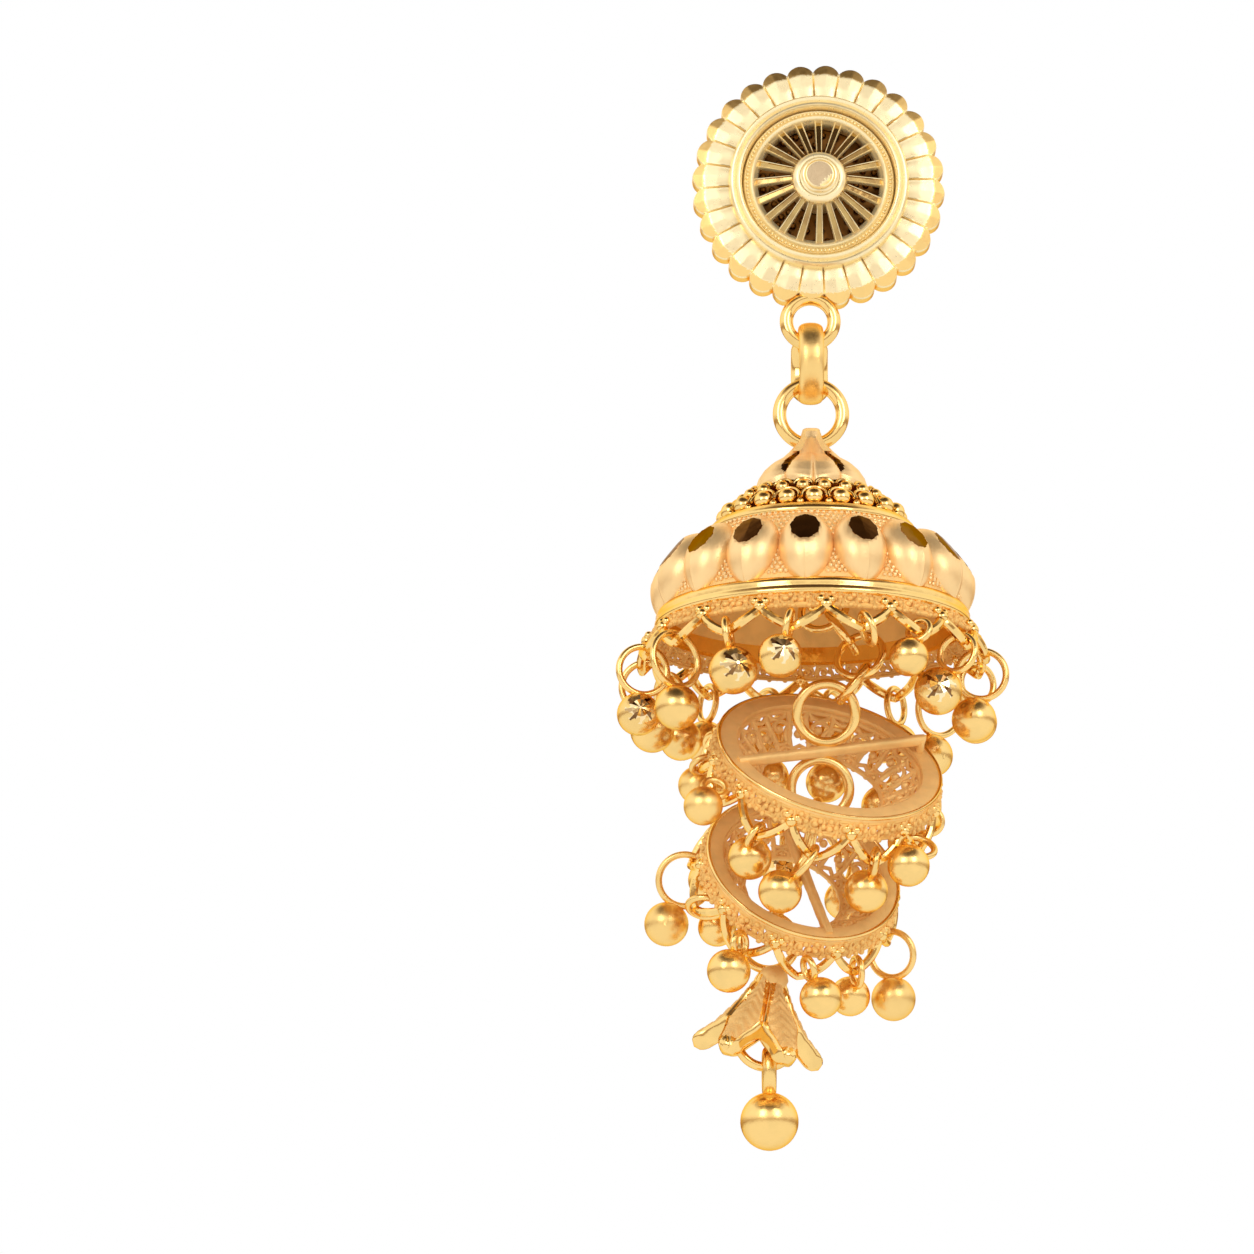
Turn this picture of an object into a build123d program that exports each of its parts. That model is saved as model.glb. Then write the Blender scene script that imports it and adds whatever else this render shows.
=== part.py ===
from build123d import *

import os
from math import cos, pi, radians, sin, sqrt, tan

# A three-tier jhumka earring, in millimetres, hanging from the ear lobe.
# The origin is on the ear post, at the middle of the lobe's thickness.
# The front faces -Y, the post runs to +Y and the drops hang towards -Z.

# How far joined shapes reach into each other, and how far cuts run past a surface.
JOIN = 0.1
CUT_PAST = 1.0

# Stud: a scalloped rosette with a collar round a spoked wheel, 28 scallops as cast.
LOBE_GAP = 5.0
STUD_RADIUS = 8.5
SCALLOPS = 28
SCALLOP_RADIUS = 0.93
SCALLOP_TURN = 4.1
PLATE_THICKNESS = 0.6
ROSETTE_DEPTH = 1.8
COLLAR_RADII = (5.3, 6.2)
COLLAR_FRONT = 2.5
WHEEL_RADII = (4.2, 5.22)
COLLAR_SEAT = 0.2
WHEEL_SINK = 0.15
WHEEL_SPOKES = 20
SPOKE_SIZE = (0.42, 0.5)
SPOKE_SINK = 0.35
HUB_RADIUS = 1.9
HUB_RISE = 0.3
BUTTON_RADIUS = 1.27
BUTTON_EDGE = 0.3
BUTTON_DEPTH = 0.5
POST_RADIUS = 0.5
NUT_RADIUS = 3.0
NUT_DEPTH = 1.9
NUT_TAPER = (0.9, 0.7)
POST_TAIL = 1.0

# Chain from the stud to the bell: its plane and the gaps left between linked pieces.
CHAIN_X = -0.65
CHAIN_Y = -3.5
GAP = 0.04
SLANT_GAP = 0.14
CHAIN_WIRE = 0.46
STUD_RING_Z = -9.75
STUD_RING_RADIUS = 1.63
LINK_HALF_WIDTH = 0.85
LINK_HALF_THICKNESS = 0.44
LINK_RADIUS = 2.38
LINK_TOP_DROP = 0.635
BELL_RING_RADIUS = 2.15

# Bell: outer profile of the dome as (radius, height), from the neck down to the rim.
DOME_PROFILE = (
    (0.65, -17.35),
    (0.85, -18.1),
    (1.4, -19.1),
    (3.3, -20.6),
    (3.6, -21.3),
    (4.6, -21.7),
    (5.6, -22.4),
    (6.6, -23.2),
    (7.3, -24.4),
    (8.1, -25.5),
    (8.95, -26.8),
    (9.6, -28.2),
    (10.05, -29.5),
    (10.3, -30.3),
)
DOME_WALL = 0.55
DOME_WALL_DROP = 0.2
RIM_RADIUS = 10.65
RIM_HEIGHT = 0.9
RIM_BOTTOM = -31.1
BOSSES = 16
BOSS_TURN = -4.7
BOSS_LENGTH = 5.6
BOSS_WIDTH = 3.5
BOSS_CENTRE = (8.95, -28.05)
BOSS_SLOPE = 25.0
LACE_WIRE = 0.22
BELL_LACE = ((10.4, -31.0), (11.1, -32.1))
BELL_VALLEY = (11.65, -34.0)
BELL_ZIGZAGS = 16
BELL_PEAK_TURN = 2.5
STEM_RADIUS = 0.45
STEM_END = -27.6
INNER_LOOP_RADIUS = 1.1
INNER_LOOP_WIRE = 0.4

# Lower tiers: how each disc leans, as the turn of its widest line below level and the
# share of its width that it shows from the front, and how deep it lies.
SIGHT_RISE = 13.4
TIER_TWO = {
    "centre": (0.37, -5.5, -40.55),
    "turn": 14.5,
    "open": 0.472,
    "radii": (6.37, 7.7),
    "zigzags": 12,
    "peak_turn": 102.2,
    "bar_turn": -32.0,
    "bar_lift": 1.1,
    "ring_shift": -0.4,
}
TIER_THREE = {
    "centre": (-1.33, -1.8, -47.46),
    "turn": 20.2,
    "open": 0.62,
    "radii": (5.64, 6.74),
    "zigzags": 10,
    "peak_turn": 92.0,
    "bar_turn": 61.6,
    "bar_lift": 0.0,
    "ring_shift": 0.0,
}
TIER_PLATE = 0.45
TIER_SKIRT = 1.35
TIER_SKIRT_FLARE = 0.15
TIER_ZIGZAG = 2.0
TIER_FLARE = 0.35
TIER_WALL = 0.35
BAR_SIZE = (0.6, 0.8)
BAR_FOOT = 0.3
TIER_RING_WIRE = 0.34
TIER_RING_RADIUS = 1.95
TIER_RING_SEAT = 0.6

# Rings soldered above and below the middle of each tier's bar.
TIER_LOWER_HANG = Vector(-0.16, 0.2317, -0.96)
TIER_THREE_HANG = Vector(-0.5, 0.36, -0.79)

# Jump rings and balls of the fringes.
JUMP_WIRE = 0.225
BALL_SINK = 0.05
KNOT_SHARE = 1.25
NOTCH_CLEARANCE = 2 * JUMP_WIRE + 0.04
NOTCH_HEIGHTS = (0.4, 1.8)
NOTCH_STEP = 0.02
RING_SAMPLES = 60

# One row for each valley of the bell's zigzag, from the front middle to the viewer's left:
# ring radius, ball radius (0 for an empty ring), twist about the vertical, lean to the
# viewer's right and swing away from the bell's middle, in degrees.
BELL_DROPS = (
    (1.00, 1.45, 0, -12, 20),
    (1.00, 1.60, -20, 12, 10),
    (1.85, 1.50, 0, 8, 8),
    (1.65, 1.45, 0, 10, 16),
    (1.65, 1.50, 0, 8, 0),
    (1.60, 1.45, 25, 20, 8),
    (1.25, 1.50, 10, -4, 0),
    (1.30, 1.45, -25, 0, 2),
    (1.30, 1.50, 25, 4, 0),
    (1.25, 1.45, 0, 0, 2),
    (1.95, 1.50, 0, -22, 14),
    (1.30, 1.45, -15, -3, 0),
    (1.65, 1.50, 0, 4, -14),
    (1.30, 1.60, 0, -20, -10),
    (0.75, 1.30, -25, -28, 14),
    (1.05, 0.00, 0, 20, 12),
)
# The same for the lower tiers, from the valley after the first peak; the swing is
# towards the back.
TIER_TWO_DROPS = (
    (0.80, 1.45, 0, -16, 58),
    (0.80, 1.30, 25, -30, -41),
    (0.75, 1.30, -25, -19, 58),
    (1.15, 1.40, -10, -12, 55),
    (1.20, 1.45, -15, 0, 10),
    (1.20, 1.40, 15, 0, 5),
    (1.20, 1.45, 10, 0, 5),
    (1.05, 1.30, 0, -25, 4),
    (0.85, 1.30, 0, -46, 0),
    (1.15, 1.40, 25, -24, -49),
    (0.85, 1.45, 25, -16, 41),
    (1.20, 1.45, 8, -42, 28),
)
TIER_THREE_DROPS = (
    (0.75, 1.45, 0, -21, -18),
    (1.20, 1.30, 25, 39, 65),
    (1.75, 1.50, 0, -23, 11),
    (1.25, 1.40, -10, -20, 10),
    (1.20, 1.45, 10, 0, 30),
    (1.20, 1.40, -15, 0, 5),
    (0.95, 1.30, 0, -31, -4),
    (1.55, 1.50, 25, 2, 12),
    (0.95, 1.35, 25, -16, 52),
    (0.75, 1.40, -25, 21, -2),
)

# Connector rings between the bell's inner loop and tier two, the first leaning right.
CONNECTOR_WIRE = 0.26
CONNECTOR_RADIUS = 1.5
CONNECTOR_COUNT = 4
CONNECTOR_LEAN = 36.0

# Flower: a six-petal cap with a loop above and a ring below. It leans to the viewer's left
# and nods towards the viewer.
FLOWER_X = -3.4
FLOWER_TOP = -54.15
FLOWER_LOOP_WIRE = 0.3
FLOWER_TILT = 11.0
FLOWER_NOD = 8.0
PETALS = 6
PETAL_PROFILE = ((0.70, 0.0), (1.00, -1.15), (1.75, -2.5), (3.05, -4.25), (4.65, -5.73))
PETAL_WALL = 0.5
PETAL_WALL_DROP = 0.25
PETAL_GAP = ((1.62, 0.0), (8.0, -1.9), (8.0, 1.9))
PETAL_GAP_FLOOR = -7.0
PETAL_GAP_HEIGHT = 4.0
FLOWER_RING_RADIUS = 1.92
FLOWER_RING_WIRE = 0.4
FLOWER_RING_CENTRE = (-3.9, -58.88)
FLOWER_PEG_SINK = 0.5

# End ball and its loop.
END_X = -3.72
END_LOOP_RADIUS = 1.3
END_LOOP_WIRE = 0.47
END_BALL_RADIUS = 1.95
END_BALL_DROP = 3.7


def to_front(shape):
    """Turn a shape modelled along +Z so that its top faces the viewer, towards -Y."""
    return Rot(90, 0, 0) * shape


def ring(centre, axis, radius, wire, seam=None):
    """A closed ring of round wire about an axis, its surfaces starting towards the seam."""
    return Plane(origin=centre, x_dir=seam, z_dir=axis) * Torus(radius, wire)


def rod(start, end, radius):
    """A round rod between two points."""
    run = end - start
    bottom = (Align.CENTER, Align.CENTER, Align.MIN)
    return Plane(origin=start, z_dir=run) * Cylinder(radius, run.length, align=bottom)


def ball(centre, radius, pole=(0, 0, 1), seam=None):
    """A ball whose surface has its pole and seam where nothing joins it."""
    return Plane(origin=centre, x_dir=seam, z_dir=pole) * Sphere(radius)


def turned(profile):
    """A solid of revolution about Z from (radius, height) corners."""
    face = Plane.XZ * make_face(Polyline(*profile, close=True))
    return revolve(face, Axis.Z)


def disc(radius, low, high):
    """A round disc about Z between two heights."""
    bottom = (Align.CENTER, Align.CENTER, Align.MIN)
    return Pos(0, 0, low) * Cylinder(radius, high - low, align=bottom)


def around(count, start=0.0):
    """Equal turns round a circle, in degrees."""
    return [start + 360.0 * k / count for k in range(count)]


def stud_rosette():
    """Back plate, scalloped border, collar and the soldered ring that carries the chain."""
    back = LOBE_GAP / 2
    front = back + ROSETTE_DEPTH
    core = STUD_RADIUS - SCALLOP_RADIUS + JOIN
    body = disc(core, back, front)
    for turn in around(SCALLOPS, 90 - SCALLOP_TURN):
        lobe = disc(SCALLOP_RADIUS, back, front)
        body += Rot(0, 0, turn) * Pos(STUD_RADIUS - SCALLOP_RADIUS, 0, 0) * lobe
    top = back + COLLAR_FRONT
    body += disc(COLLAR_RADII[1], front - COLLAR_SEAT, top)
    body -= disc(COLLAR_RADII[0], back + PLATE_THICKNESS, top + CUT_PAST)
    middle = Vector(CHAIN_X, CHAIN_Y, STUD_RING_Z)
    hook = ring(middle, (0, 1, 0), STUD_RING_RADIUS, CHAIN_WIRE, (0, 0, -1))
    return to_front(body) + hook


def spoke_wheel():
    """The pierced wheel that lies inside the collar."""
    back = LOBE_GAP / 2 + PLATE_THICKNESS + GAP / 2
    front = LOBE_GAP / 2 + COLLAR_FRONT - WHEEL_SINK
    inner, outer = WHEEL_RADII
    wheel = disc(outer, back, front) - disc(inner, back - CUT_PAST, front + CUT_PAST)
    wheel += turned(
        (
            (0, back),
            (HUB_RADIUS, back),
            (HUB_RADIUS, front - HUB_RISE),
            (BUTTON_RADIUS, front + HUB_RISE),
            (0, front + HUB_RISE),
        )
    )
    width, depth = SPOKE_SIZE
    reach = inner + 2 * JOIN
    for turn in around(WHEEL_SPOKES, 90):
        spoke = Box(reach, width, depth, align=(Align.MIN, Align.CENTER, Align.MIN))
        wheel += Rot(0, 0, turn) * Pos(0, 0, front - depth - SPOKE_SINK) * spoke
    return to_front(wheel)


def centre_button():
    """The small turned button with a flat facet, at the wheel's middle."""
    seat = LOBE_GAP / 2 + COLLAR_FRONT - WHEEL_SINK + HUB_RISE + GAP / 2
    return to_front(
        turned(
            (
                (0, seat),
                (BUTTON_RADIUS, seat),
                (BUTTON_RADIUS, seat + BUTTON_EDGE),
                (BUTTON_RADIUS - BUTTON_EDGE, seat + BUTTON_DEPTH),
                (0, seat + BUTTON_DEPTH),
            )
        )
    )


def ear_post():
    """The post through the lobe with its screw nut, as one plain piece."""
    nut = -LOBE_GAP / 2 - NUT_DEPTH
    post = disc(POST_RADIUS, nut - POST_TAIL, LOBE_GAP / 2 - GAP / 2)
    cap = turned(
        (
            (0, nut),
            (NUT_RADIUS - NUT_TAPER[0], nut),
            (NUT_RADIUS, nut + NUT_TAPER[1]),
            (NUT_RADIUS, -LOBE_GAP / 2),
            (0, -LOBE_GAP / 2),
        )
    )
    return to_front(post + cap)


def link_centre():
    return Vector(CHAIN_X, CHAIN_Y, STUD_RING_Z - LINK_TOP_DROP - LINK_RADIUS)


def middle_link():
    """The puffed link seen edge-on: an oval section carried round a circle."""
    section = Plane.XY * Pos(0, LINK_RADIUS) * Ellipse(LINK_HALF_WIDTH, LINK_HALF_THICKNESS)
    return Pos(link_centre()) * revolve(section, Axis.X)


def bell_ring_centre():
    hole = BELL_RING_RADIUS - CHAIN_WIRE - GAP
    low = link_centre().Z - LINK_RADIUS
    return Vector(CHAIN_X, CHAIN_Y, low - hole + LINK_HALF_THICKNESS)


class Frame:
    """A tier's own frame: its middle, two directions in its disc and its upward normal."""

    def __init__(self, centre, across, down):
        self.centre = centre
        self.across = across
        self.down = down
        self.up = down.cross(across).normalized()

    def radial(self, turn):
        angle = radians(turn)
        return self.across * cos(angle) + self.down * sin(angle)

    def point(self, turn, radius, height):
        return self.centre + self.radial(turn) * radius + self.up * height


def tier_frame(tier):
    """Stand a tier's disc as seen along the rising line of sight: its widest line lies
    square to that line, and it opens towards the viewer by its open share."""
    sight_up, sight = sight_axes()
    turn = radians(tier["turn"])
    across = Vector(1, 0, 0) * cos(turn) - sight_up * sin(turn)
    below = Vector(-1, 0, 0) * sin(turn) - sight_up * cos(turn)
    share = tier["open"]
    down = below * share - sight * sqrt(1 - share * share)
    return Frame(Vector(*tier["centre"]), across, down)


def bell_frame():
    return Frame(Vector(CHAIN_X, CHAIN_Y, 0), Vector(1, 0, 0), Vector(0, -1, 0))


def zigzag(frame, count, peak_turn, peak, valley):
    """Legs from each peak to the valleys beside it, with a knot at each end.
    Peak and valley are (radius, height) in the frame."""
    wires = None
    half = 180.0 / count
    knot = LACE_WIRE * KNOT_SHARE
    for turn in around(count, peak_turn):
        top = frame.point(turn, *peak)
        low = frame.point(turn + half, *valley)
        next_top = frame.point(turn + 2 * half, *peak)
        run = [rod(top, low, LACE_WIRE), rod(low, next_top, LACE_WIRE)]
        run += [ball(top, knot), ball(low, knot)]
        wires = run if wires is None else wires + run
    return wires


def lace_band(frame, inner, outer):
    """The plain body of a lace band: a thin cone between two (radius, height) edges."""
    (r0, h0), (r1, h1) = inner, outer
    wall = TIER_WALL
    cone = turned(((r0, h0), (r1, h1), (r1 - wall, h1), (r0 - wall, h0)))
    return Plane(origin=frame.centre, x_dir=frame.across, z_dir=frame.up) * cone


def bell_dome():
    """The hollow bell with its ring, bosses, rim, lace and zigzag, soldered into one."""
    outer = list(DOME_PROFILE)
    start = 2
    inner = [(radius - DOME_WALL, height - DOME_WALL_DROP) for radius, height in outer[start:]]
    inner[-1] = (inner[-1][0], outer[-1][1])
    cavity_top = inner[0][1]
    shell = turned([(0, outer[0][1])] + outer + inner[::-1] + [(0, cavity_top)])
    rim_top = RIM_BOTTOM + RIM_HEIGHT
    wall = outer[-1][0] - DOME_WALL
    rim_hole = disc(wall, RIM_BOTTOM - CUT_PAST, rim_top + CUT_PAST)
    rim = disc(RIM_RADIUS, RIM_BOTTOM, rim_top) - rim_hole
    dome = Pos(CHAIN_X, CHAIN_Y, 0) * (shell + rim)
    radius, height = BOSS_CENTRE
    hollow = Rot(0, 0, 90) * turned([(0, cavity_top)] + inner + [(0, outer[-1][1])])
    boss = Pos(radius, 0, height) * Rot(0, -BOSS_SLOPE, 0) * boss_body() - hollow
    turns = around(BOSSES, BOSS_TURN - 90)
    bosses = [Pos(CHAIN_X, CHAIN_Y, 0) * Rot(0, 0, turn) * boss for turn in turns]
    frame = bell_frame()
    wires = zigzag(frame, BELL_ZIGZAGS, 90 - BELL_PEAK_TURN, BELL_LACE[1], BELL_VALLEY)
    hook = ring(bell_ring_centre(), (0, 1, 0), BELL_RING_RADIUS, CHAIN_WIRE, (0, 0, 1))
    crown = Vector(CHAIN_X, CHAIN_Y, outer[start][1])
    stem = rod(crown, Vector(CHAIN_X, CHAIN_Y, STEM_END), STEM_RADIUS)
    loop = ring(inner_loop_centre(), (1, 0, 0), INNER_LOOP_RADIUS, INNER_LOOP_WIRE, (0, 0, -1))
    return dome + bosses + wires + [lace_band(frame, *BELL_LACE), hook, stem, loop]


def boss_body():
    """One almond boss: an arc turned about its own long line."""
    half = BOSS_LENGTH / 2
    arc = ThreePointArc((0, -half), (BOSS_WIDTH / 2, 0), (0, half))
    face = Plane.XZ * make_face(arc + Line((0, half), (0, -half)))
    return revolve(face, Axis.Z)


def inner_loop_centre():
    """The loop on the stem under the dome's crown that the tiers hang from."""
    return Vector(CHAIN_X, CHAIN_Y, STEM_END - INNER_LOOP_RADIUS)


def sight_axes():
    """The upward direction square to the rising line of sight, and that line itself."""
    rise = radians(SIGHT_RISE)
    return Vector(0, -sin(rise), cos(rise)), Vector(0, cos(rise), sin(rise))


def bar_points(tier):
    """The ends of a tier's bar and the point where its two rings are soldered."""
    frame = tier_frame(tier)
    reach = (tier["radii"][0] + tier["radii"][1]) / 2
    height = -BAR_SIZE[1] / 4
    start = frame.point(tier["bar_turn"] + 180, reach, height)
    end = frame.point(tier["bar_turn"], reach, height + tier["bar_lift"])
    along = (end - start).normalized()
    return start, end, (start + end) * 0.5 + along * tier["ring_shift"]


def tier_rings():
    """Middle, plane axis and radius of the four rings on the two bars. The lower ring of
    tier two carries the upper ring of tier three."""
    up, sight = sight_axes()
    seat = BAR_SIZE[1] / 2 + TIER_RING_WIRE * TIER_RING_SEAT
    reach = seat + TIER_RING_RADIUS
    two, three = bar_points(TIER_TWO)[2], bar_points(TIER_THREE)[2]
    hang = TIER_LOWER_HANG.normalized()
    lower_two = two + hang * reach
    hold = two + hang * (reach + TIER_RING_RADIUS - 2 * TIER_RING_WIRE - SLANT_GAP)
    pull = (hold - three).normalized()
    span = (hold - three).length - seat
    lean = TIER_THREE_HANG.normalized()
    return {
        "two_upper": (two + up * reach, sight, TIER_RING_RADIUS),
        "two_lower": (lower_two, hang.cross(Vector(1, 0, 0)), TIER_RING_RADIUS),
        "three_upper": (three + pull * (seat + span / 2), pull.cross(sight), span / 2),
        "three_lower": (three + lean * reach, lean.cross(Vector(0, 1, 0)), TIER_RING_RADIUS),
    }


def tier_body(tier, rings):
    """A tier in one soldered piece: disc ring, bar, two rings, lace wall and zigzag."""
    frame = tier_frame(tier)
    inner, outer = tier["radii"]
    plate = turned(((inner, 0), (outer, 0), (outer, -TIER_PLATE), (inner, -TIER_PLATE)))
    place = Plane(origin=frame.centre, x_dir=frame.across, z_dir=frame.up)
    skirt = ((outer, JOIN - TIER_PLATE), (outer + TIER_SKIRT_FLARE, -TIER_SKIRT))
    peak = (outer, -TIER_SKIRT)
    valley = (outer + TIER_FLARE, -TIER_SKIRT - TIER_ZIGZAG)
    start, end, middle = bar_points(tier)
    bar_plane = Plane(origin=(start + end) * 0.5, x_dir=end - start, z_dir=frame.up)
    bar = bar_plane * Box((end - start).length, *BAR_SIZE)
    foot_top = end - (end - start).normalized() * BAR_FOOT
    foot = rod(foot_top, end - frame.up * tier["bar_lift"], BAR_FOOT)
    pieces = [lace_band(frame, *skirt), bar, foot]
    pieces += [ring(*spec, TIER_RING_WIRE) for spec in rings]
    wires = zigzag(frame, tier["zigzags"], tier["peak_turn"], peak, valley)
    return place * plate + pieces + wires


def notch_height(frame, count, peak, valley, turn, hang, axis, radius):
    """How far above a valley's wire a jump ring's top has to pass to clear both legs."""
    low = frame.point(turn, *valley)
    half = 180.0 / count
    legs = [frame.point(turn + side * half, *peak) for side in (-1, 1)]
    wire = hang.cross(axis).normalized()
    knot_extra = LACE_WIRE * (KNOT_SHARE - 1)
    height, highest = NOTCH_HEIGHTS
    nearest = 0.0
    while height < highest and nearest < NOTCH_CLEARANCE:
        height += NOTCH_STEP
        middle = low + frame.up * height + hang * radius
        points = [
            middle - hang * radius * cos(a) + wire * radius * sin(a)
            for a in [2 * pi * k / RING_SAMPLES for k in range(RING_SAMPLES)]
        ]
        to_legs = min(distance_to_run(p, low, leg) for p in points for leg in legs)
        to_knot = min((p - low).length for p in points) - knot_extra
        nearest = min(to_legs, to_knot)
    return height


def distance_to_run(point, start, end):
    """The distance from a point to a straight run of wire."""
    run = end - start
    share = max(0.0, min(1.0, (point - start).dot(run) / run.dot(run)))
    return (point - start - run * share).length


def ring_axis(frame, turn, twist, hang):
    """The axis of a jump ring that crosses its notch along the twisted radial line."""
    across = frame.radial(turn + twist)
    across = across - hang * across.dot(hang)
    return hang.cross(across).normalized()


def drop_place(frame, count, peak, valley, turn, row, outward):
    """Where a drop hangs: its ring's top, its hanging direction and its ring's axis."""
    radius, _, twist, lean, swing = row
    hang = Vector(0, 0, -1) + Vector(1, 0, 0) * tan(radians(lean))
    hang = (hang + outward * tan(radians(swing))).normalized()
    axis = ring_axis(frame, turn, twist, hang)
    height = notch_height(frame, count, peak, valley, turn, hang, axis, radius)
    return frame.point(turn, *valley) + frame.up * height, hang, axis


def drop(place, row):
    """A jump ring hung in a valley, with its ball soldered on below."""
    top, hang, axis = place
    radius, ball_radius = row[:2]
    body = ring(top + hang * radius, axis, radius, JUMP_WIRE, -hang)
    if ball_radius:
        centre = top + hang * (2 * radius + ball_radius - BALL_SINK)
        body += ball(centre, ball_radius, axis, hang)
    return body


def connectors():
    """Jump rings from tier two's upper ring up to the bell's inner loop."""
    up, sight = sight_axes()
    middle, _, radius = tier_rings()["two_upper"]
    slant = (Vector(1, 0, 0) + up).normalized()
    hold = middle + slant * radius
    lean = radians(CONNECTOR_LEAN)
    first = Vector(1, 0, 0) * sin(lean) + up * cos(lean)
    start = hold - first * (TIER_RING_WIRE + CONNECTOR_WIRE + SLANT_GAP)
    middle = start + first * CONNECTOR_RADIUS
    rings = [ring(middle, first.cross(sight), CONNECTOR_RADIUS, CONNECTOR_WIRE)]
    step = 2 * CONNECTOR_WIRE + SLANT_GAP
    end = start + first * 2 * CONNECTOR_RADIUS
    lift = CONNECTOR_WIRE + INNER_LOOP_WIRE + SLANT_GAP
    target = inner_loop_centre() + Vector(0, 0, lift - INNER_LOOP_RADIUS)
    left = CONNECTOR_COUNT - 1
    rise = (target - end).normalized()
    radius = ((target - end).length + left * step) / (2 * left)
    side = rise.cross(sight).normalized()
    for number in range(left):
        bottom = end - rise * step
        axis = side.cross(rise) if number % 2 == 0 else side
        rings.append(ring(bottom + rise * radius, axis, radius, CONNECTOR_WIRE))
        end = bottom + rise * 2 * radius
    return rings


def flower_hinge():
    """The lowest point of the wire of tier three's lower ring."""
    middle, axis, radius = tier_rings()["three_lower"]
    low = Vector(0, 0, -1)
    axis = axis.normalized()
    low = (low - axis * low.dot(axis)).normalized()
    return middle + low * radius


def flower():
    """The petal cap, cut from a flared shell, with its loop above and its ring below."""
    hinge = flower_hinge()
    profile = list(PETAL_PROFILE)
    inner = [(radius - PETAL_WALL, height - PETAL_WALL_DROP) for radius, height in profile[1:]]
    shell = turned([(0, 0)] + profile + inner[::-1] + [(0, inner[0][1])])
    for turn in around(PETALS, 360 / PETALS / 2):
        cut = extrude(make_face(Polyline(*PETAL_GAP, close=True)), PETAL_GAP_HEIGHT)
        shell -= Pos(0, 0, PETAL_GAP_FLOOR) * Rot(0, 0, turn) * cut
    lean = Rot(0, FLOWER_TILT, 0) * Rot(FLOWER_NOD, 0, 0)
    cap = Pos(FLOWER_X, hinge.Y, FLOWER_TOP) * lean * shell
    top = hinge.Z + TIER_RING_WIRE + FLOWER_LOOP_WIRE + GAP
    radius = (top - FLOWER_TOP + JOIN) / 2
    loop = ring(Vector(hinge.X, hinge.Y, top - radius), (0, 1, 0), radius, FLOWER_LOOP_WIRE)
    x, z = FLOWER_RING_CENTRE
    low_ring = ring(Vector(x, hinge.Y, z), (0, 1, 0), FLOWER_RING_RADIUS, FLOWER_RING_WIRE)
    peg_top = Vector(FLOWER_X, hinge.Y, FLOWER_TOP - FLOWER_PEG_SINK)
    peg = rod(peg_top, Vector(x, hinge.Y, z + FLOWER_RING_RADIUS), FLOWER_RING_WIRE)
    return cap + [loop, low_ring, peg]


def end_hinge():
    """The wire of the flower's ring where the end ball's loop hangs."""
    x, z = FLOWER_RING_CENTRE
    shift = END_X - x
    drop_to = sqrt(FLOWER_RING_RADIUS**2 - shift**2)
    return Vector(END_X, flower_hinge().Y, z - drop_to)


def end_ball():
    hinge = end_hinge()
    lift = FLOWER_RING_WIRE + END_LOOP_WIRE + GAP
    middle = hinge + Vector(0, 0, lift - END_LOOP_RADIUS)
    loop = ring(middle, (1, 0, 0), END_LOOP_RADIUS, END_LOOP_WIRE)
    return loop + ball(hinge - Vector(0, 0, END_BALL_DROP), END_BALL_RADIUS)


def fringe_places(frame, count, peak_turn, peak, valley, rows, outward):
    """The place of every drop of one zigzag, in the order of its rows."""
    half = 180.0 / count
    places = []
    for number, row in enumerate(rows):
        turn = peak_turn + half + number * 2 * half
        away = outward or frame.radial(turn)
        places.append(drop_place(frame, count, peak, valley, turn, row, away))
    return places


def bell_places():
    front = 90 - BELL_PEAK_TURN
    frame = bell_frame()
    return fringe_places(frame, BELL_ZIGZAGS, front, BELL_LACE[1], BELL_VALLEY, BELL_DROPS, None)


def tier_places(tier, rows):
    outer = tier["radii"][1]
    peak = (outer, -TIER_SKIRT)
    valley = (outer + TIER_FLARE, -TIER_SKIRT - TIER_ZIGZAG)
    frame = tier_frame(tier)
    back = Vector(0, 1, 0)
    return fringe_places(frame, tier["zigzags"], tier["peak_turn"], peak, valley, rows, back)


def all_places():
    """Each fringe's name, places and rows."""
    return (
        ("bell_drop", bell_places(), BELL_DROPS),
        ("tier_two_drop", tier_places(TIER_TWO, TIER_TWO_DROPS), TIER_TWO_DROPS),
        ("tier_three_drop", tier_places(TIER_THREE, TIER_THREE_DROPS), TIER_THREE_DROPS),
    )


def all_nodes():
    rings = tier_rings()
    nodes = {
        "stud_rosette": stud_rosette(),
        "spoke_wheel": spoke_wheel(),
        "centre_button": centre_button(),
        "ear_post": ear_post(),
        "middle_link": middle_link(),
        "bell_dome": bell_dome(),
        "tier_two": tier_body(TIER_TWO, (rings["two_upper"], rings["two_lower"])),
        "tier_three": tier_body(TIER_THREE, (rings["three_upper"], rings["three_lower"])),
        "flower_cap": flower(),
        "end_ball": end_ball(),
    }
    for number, body in enumerate(connectors()):
        nodes[f"connector_{number + 1}"] = body
    for name, places, rows in all_places():
        for number, (place, row) in enumerate(zip(places, rows)):
            nodes[f"{name}_{number + 1:02d}"] = drop(place, row)
    return nodes


def main():
    os.makedirs("parts", exist_ok=True)
    for name, body in all_nodes().items():
        export_step(body, f"parts/{name}.step")
    print("link swings about", Vector(CHAIN_X, CHAIN_Y, STUD_RING_Z))
    print("bell swings about", bell_ring_centre() + Vector(0, 0, BELL_RING_RADIUS))
    print("flower swings about", flower_hinge())
    print("end ball swings about", end_hinge())


if __name__ == "__main__":
    main()
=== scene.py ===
from math import atan2, cos, hypot, pi, radians, sin, sqrt

import bmesh
import bpy
from bpy.props import FloatProperty, FloatVectorProperty, IntProperty, PointerProperty
from bpy.types import NodeSocket, Operator, Panel, PropertyGroup
from mathutils import Matrix, Vector


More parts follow.
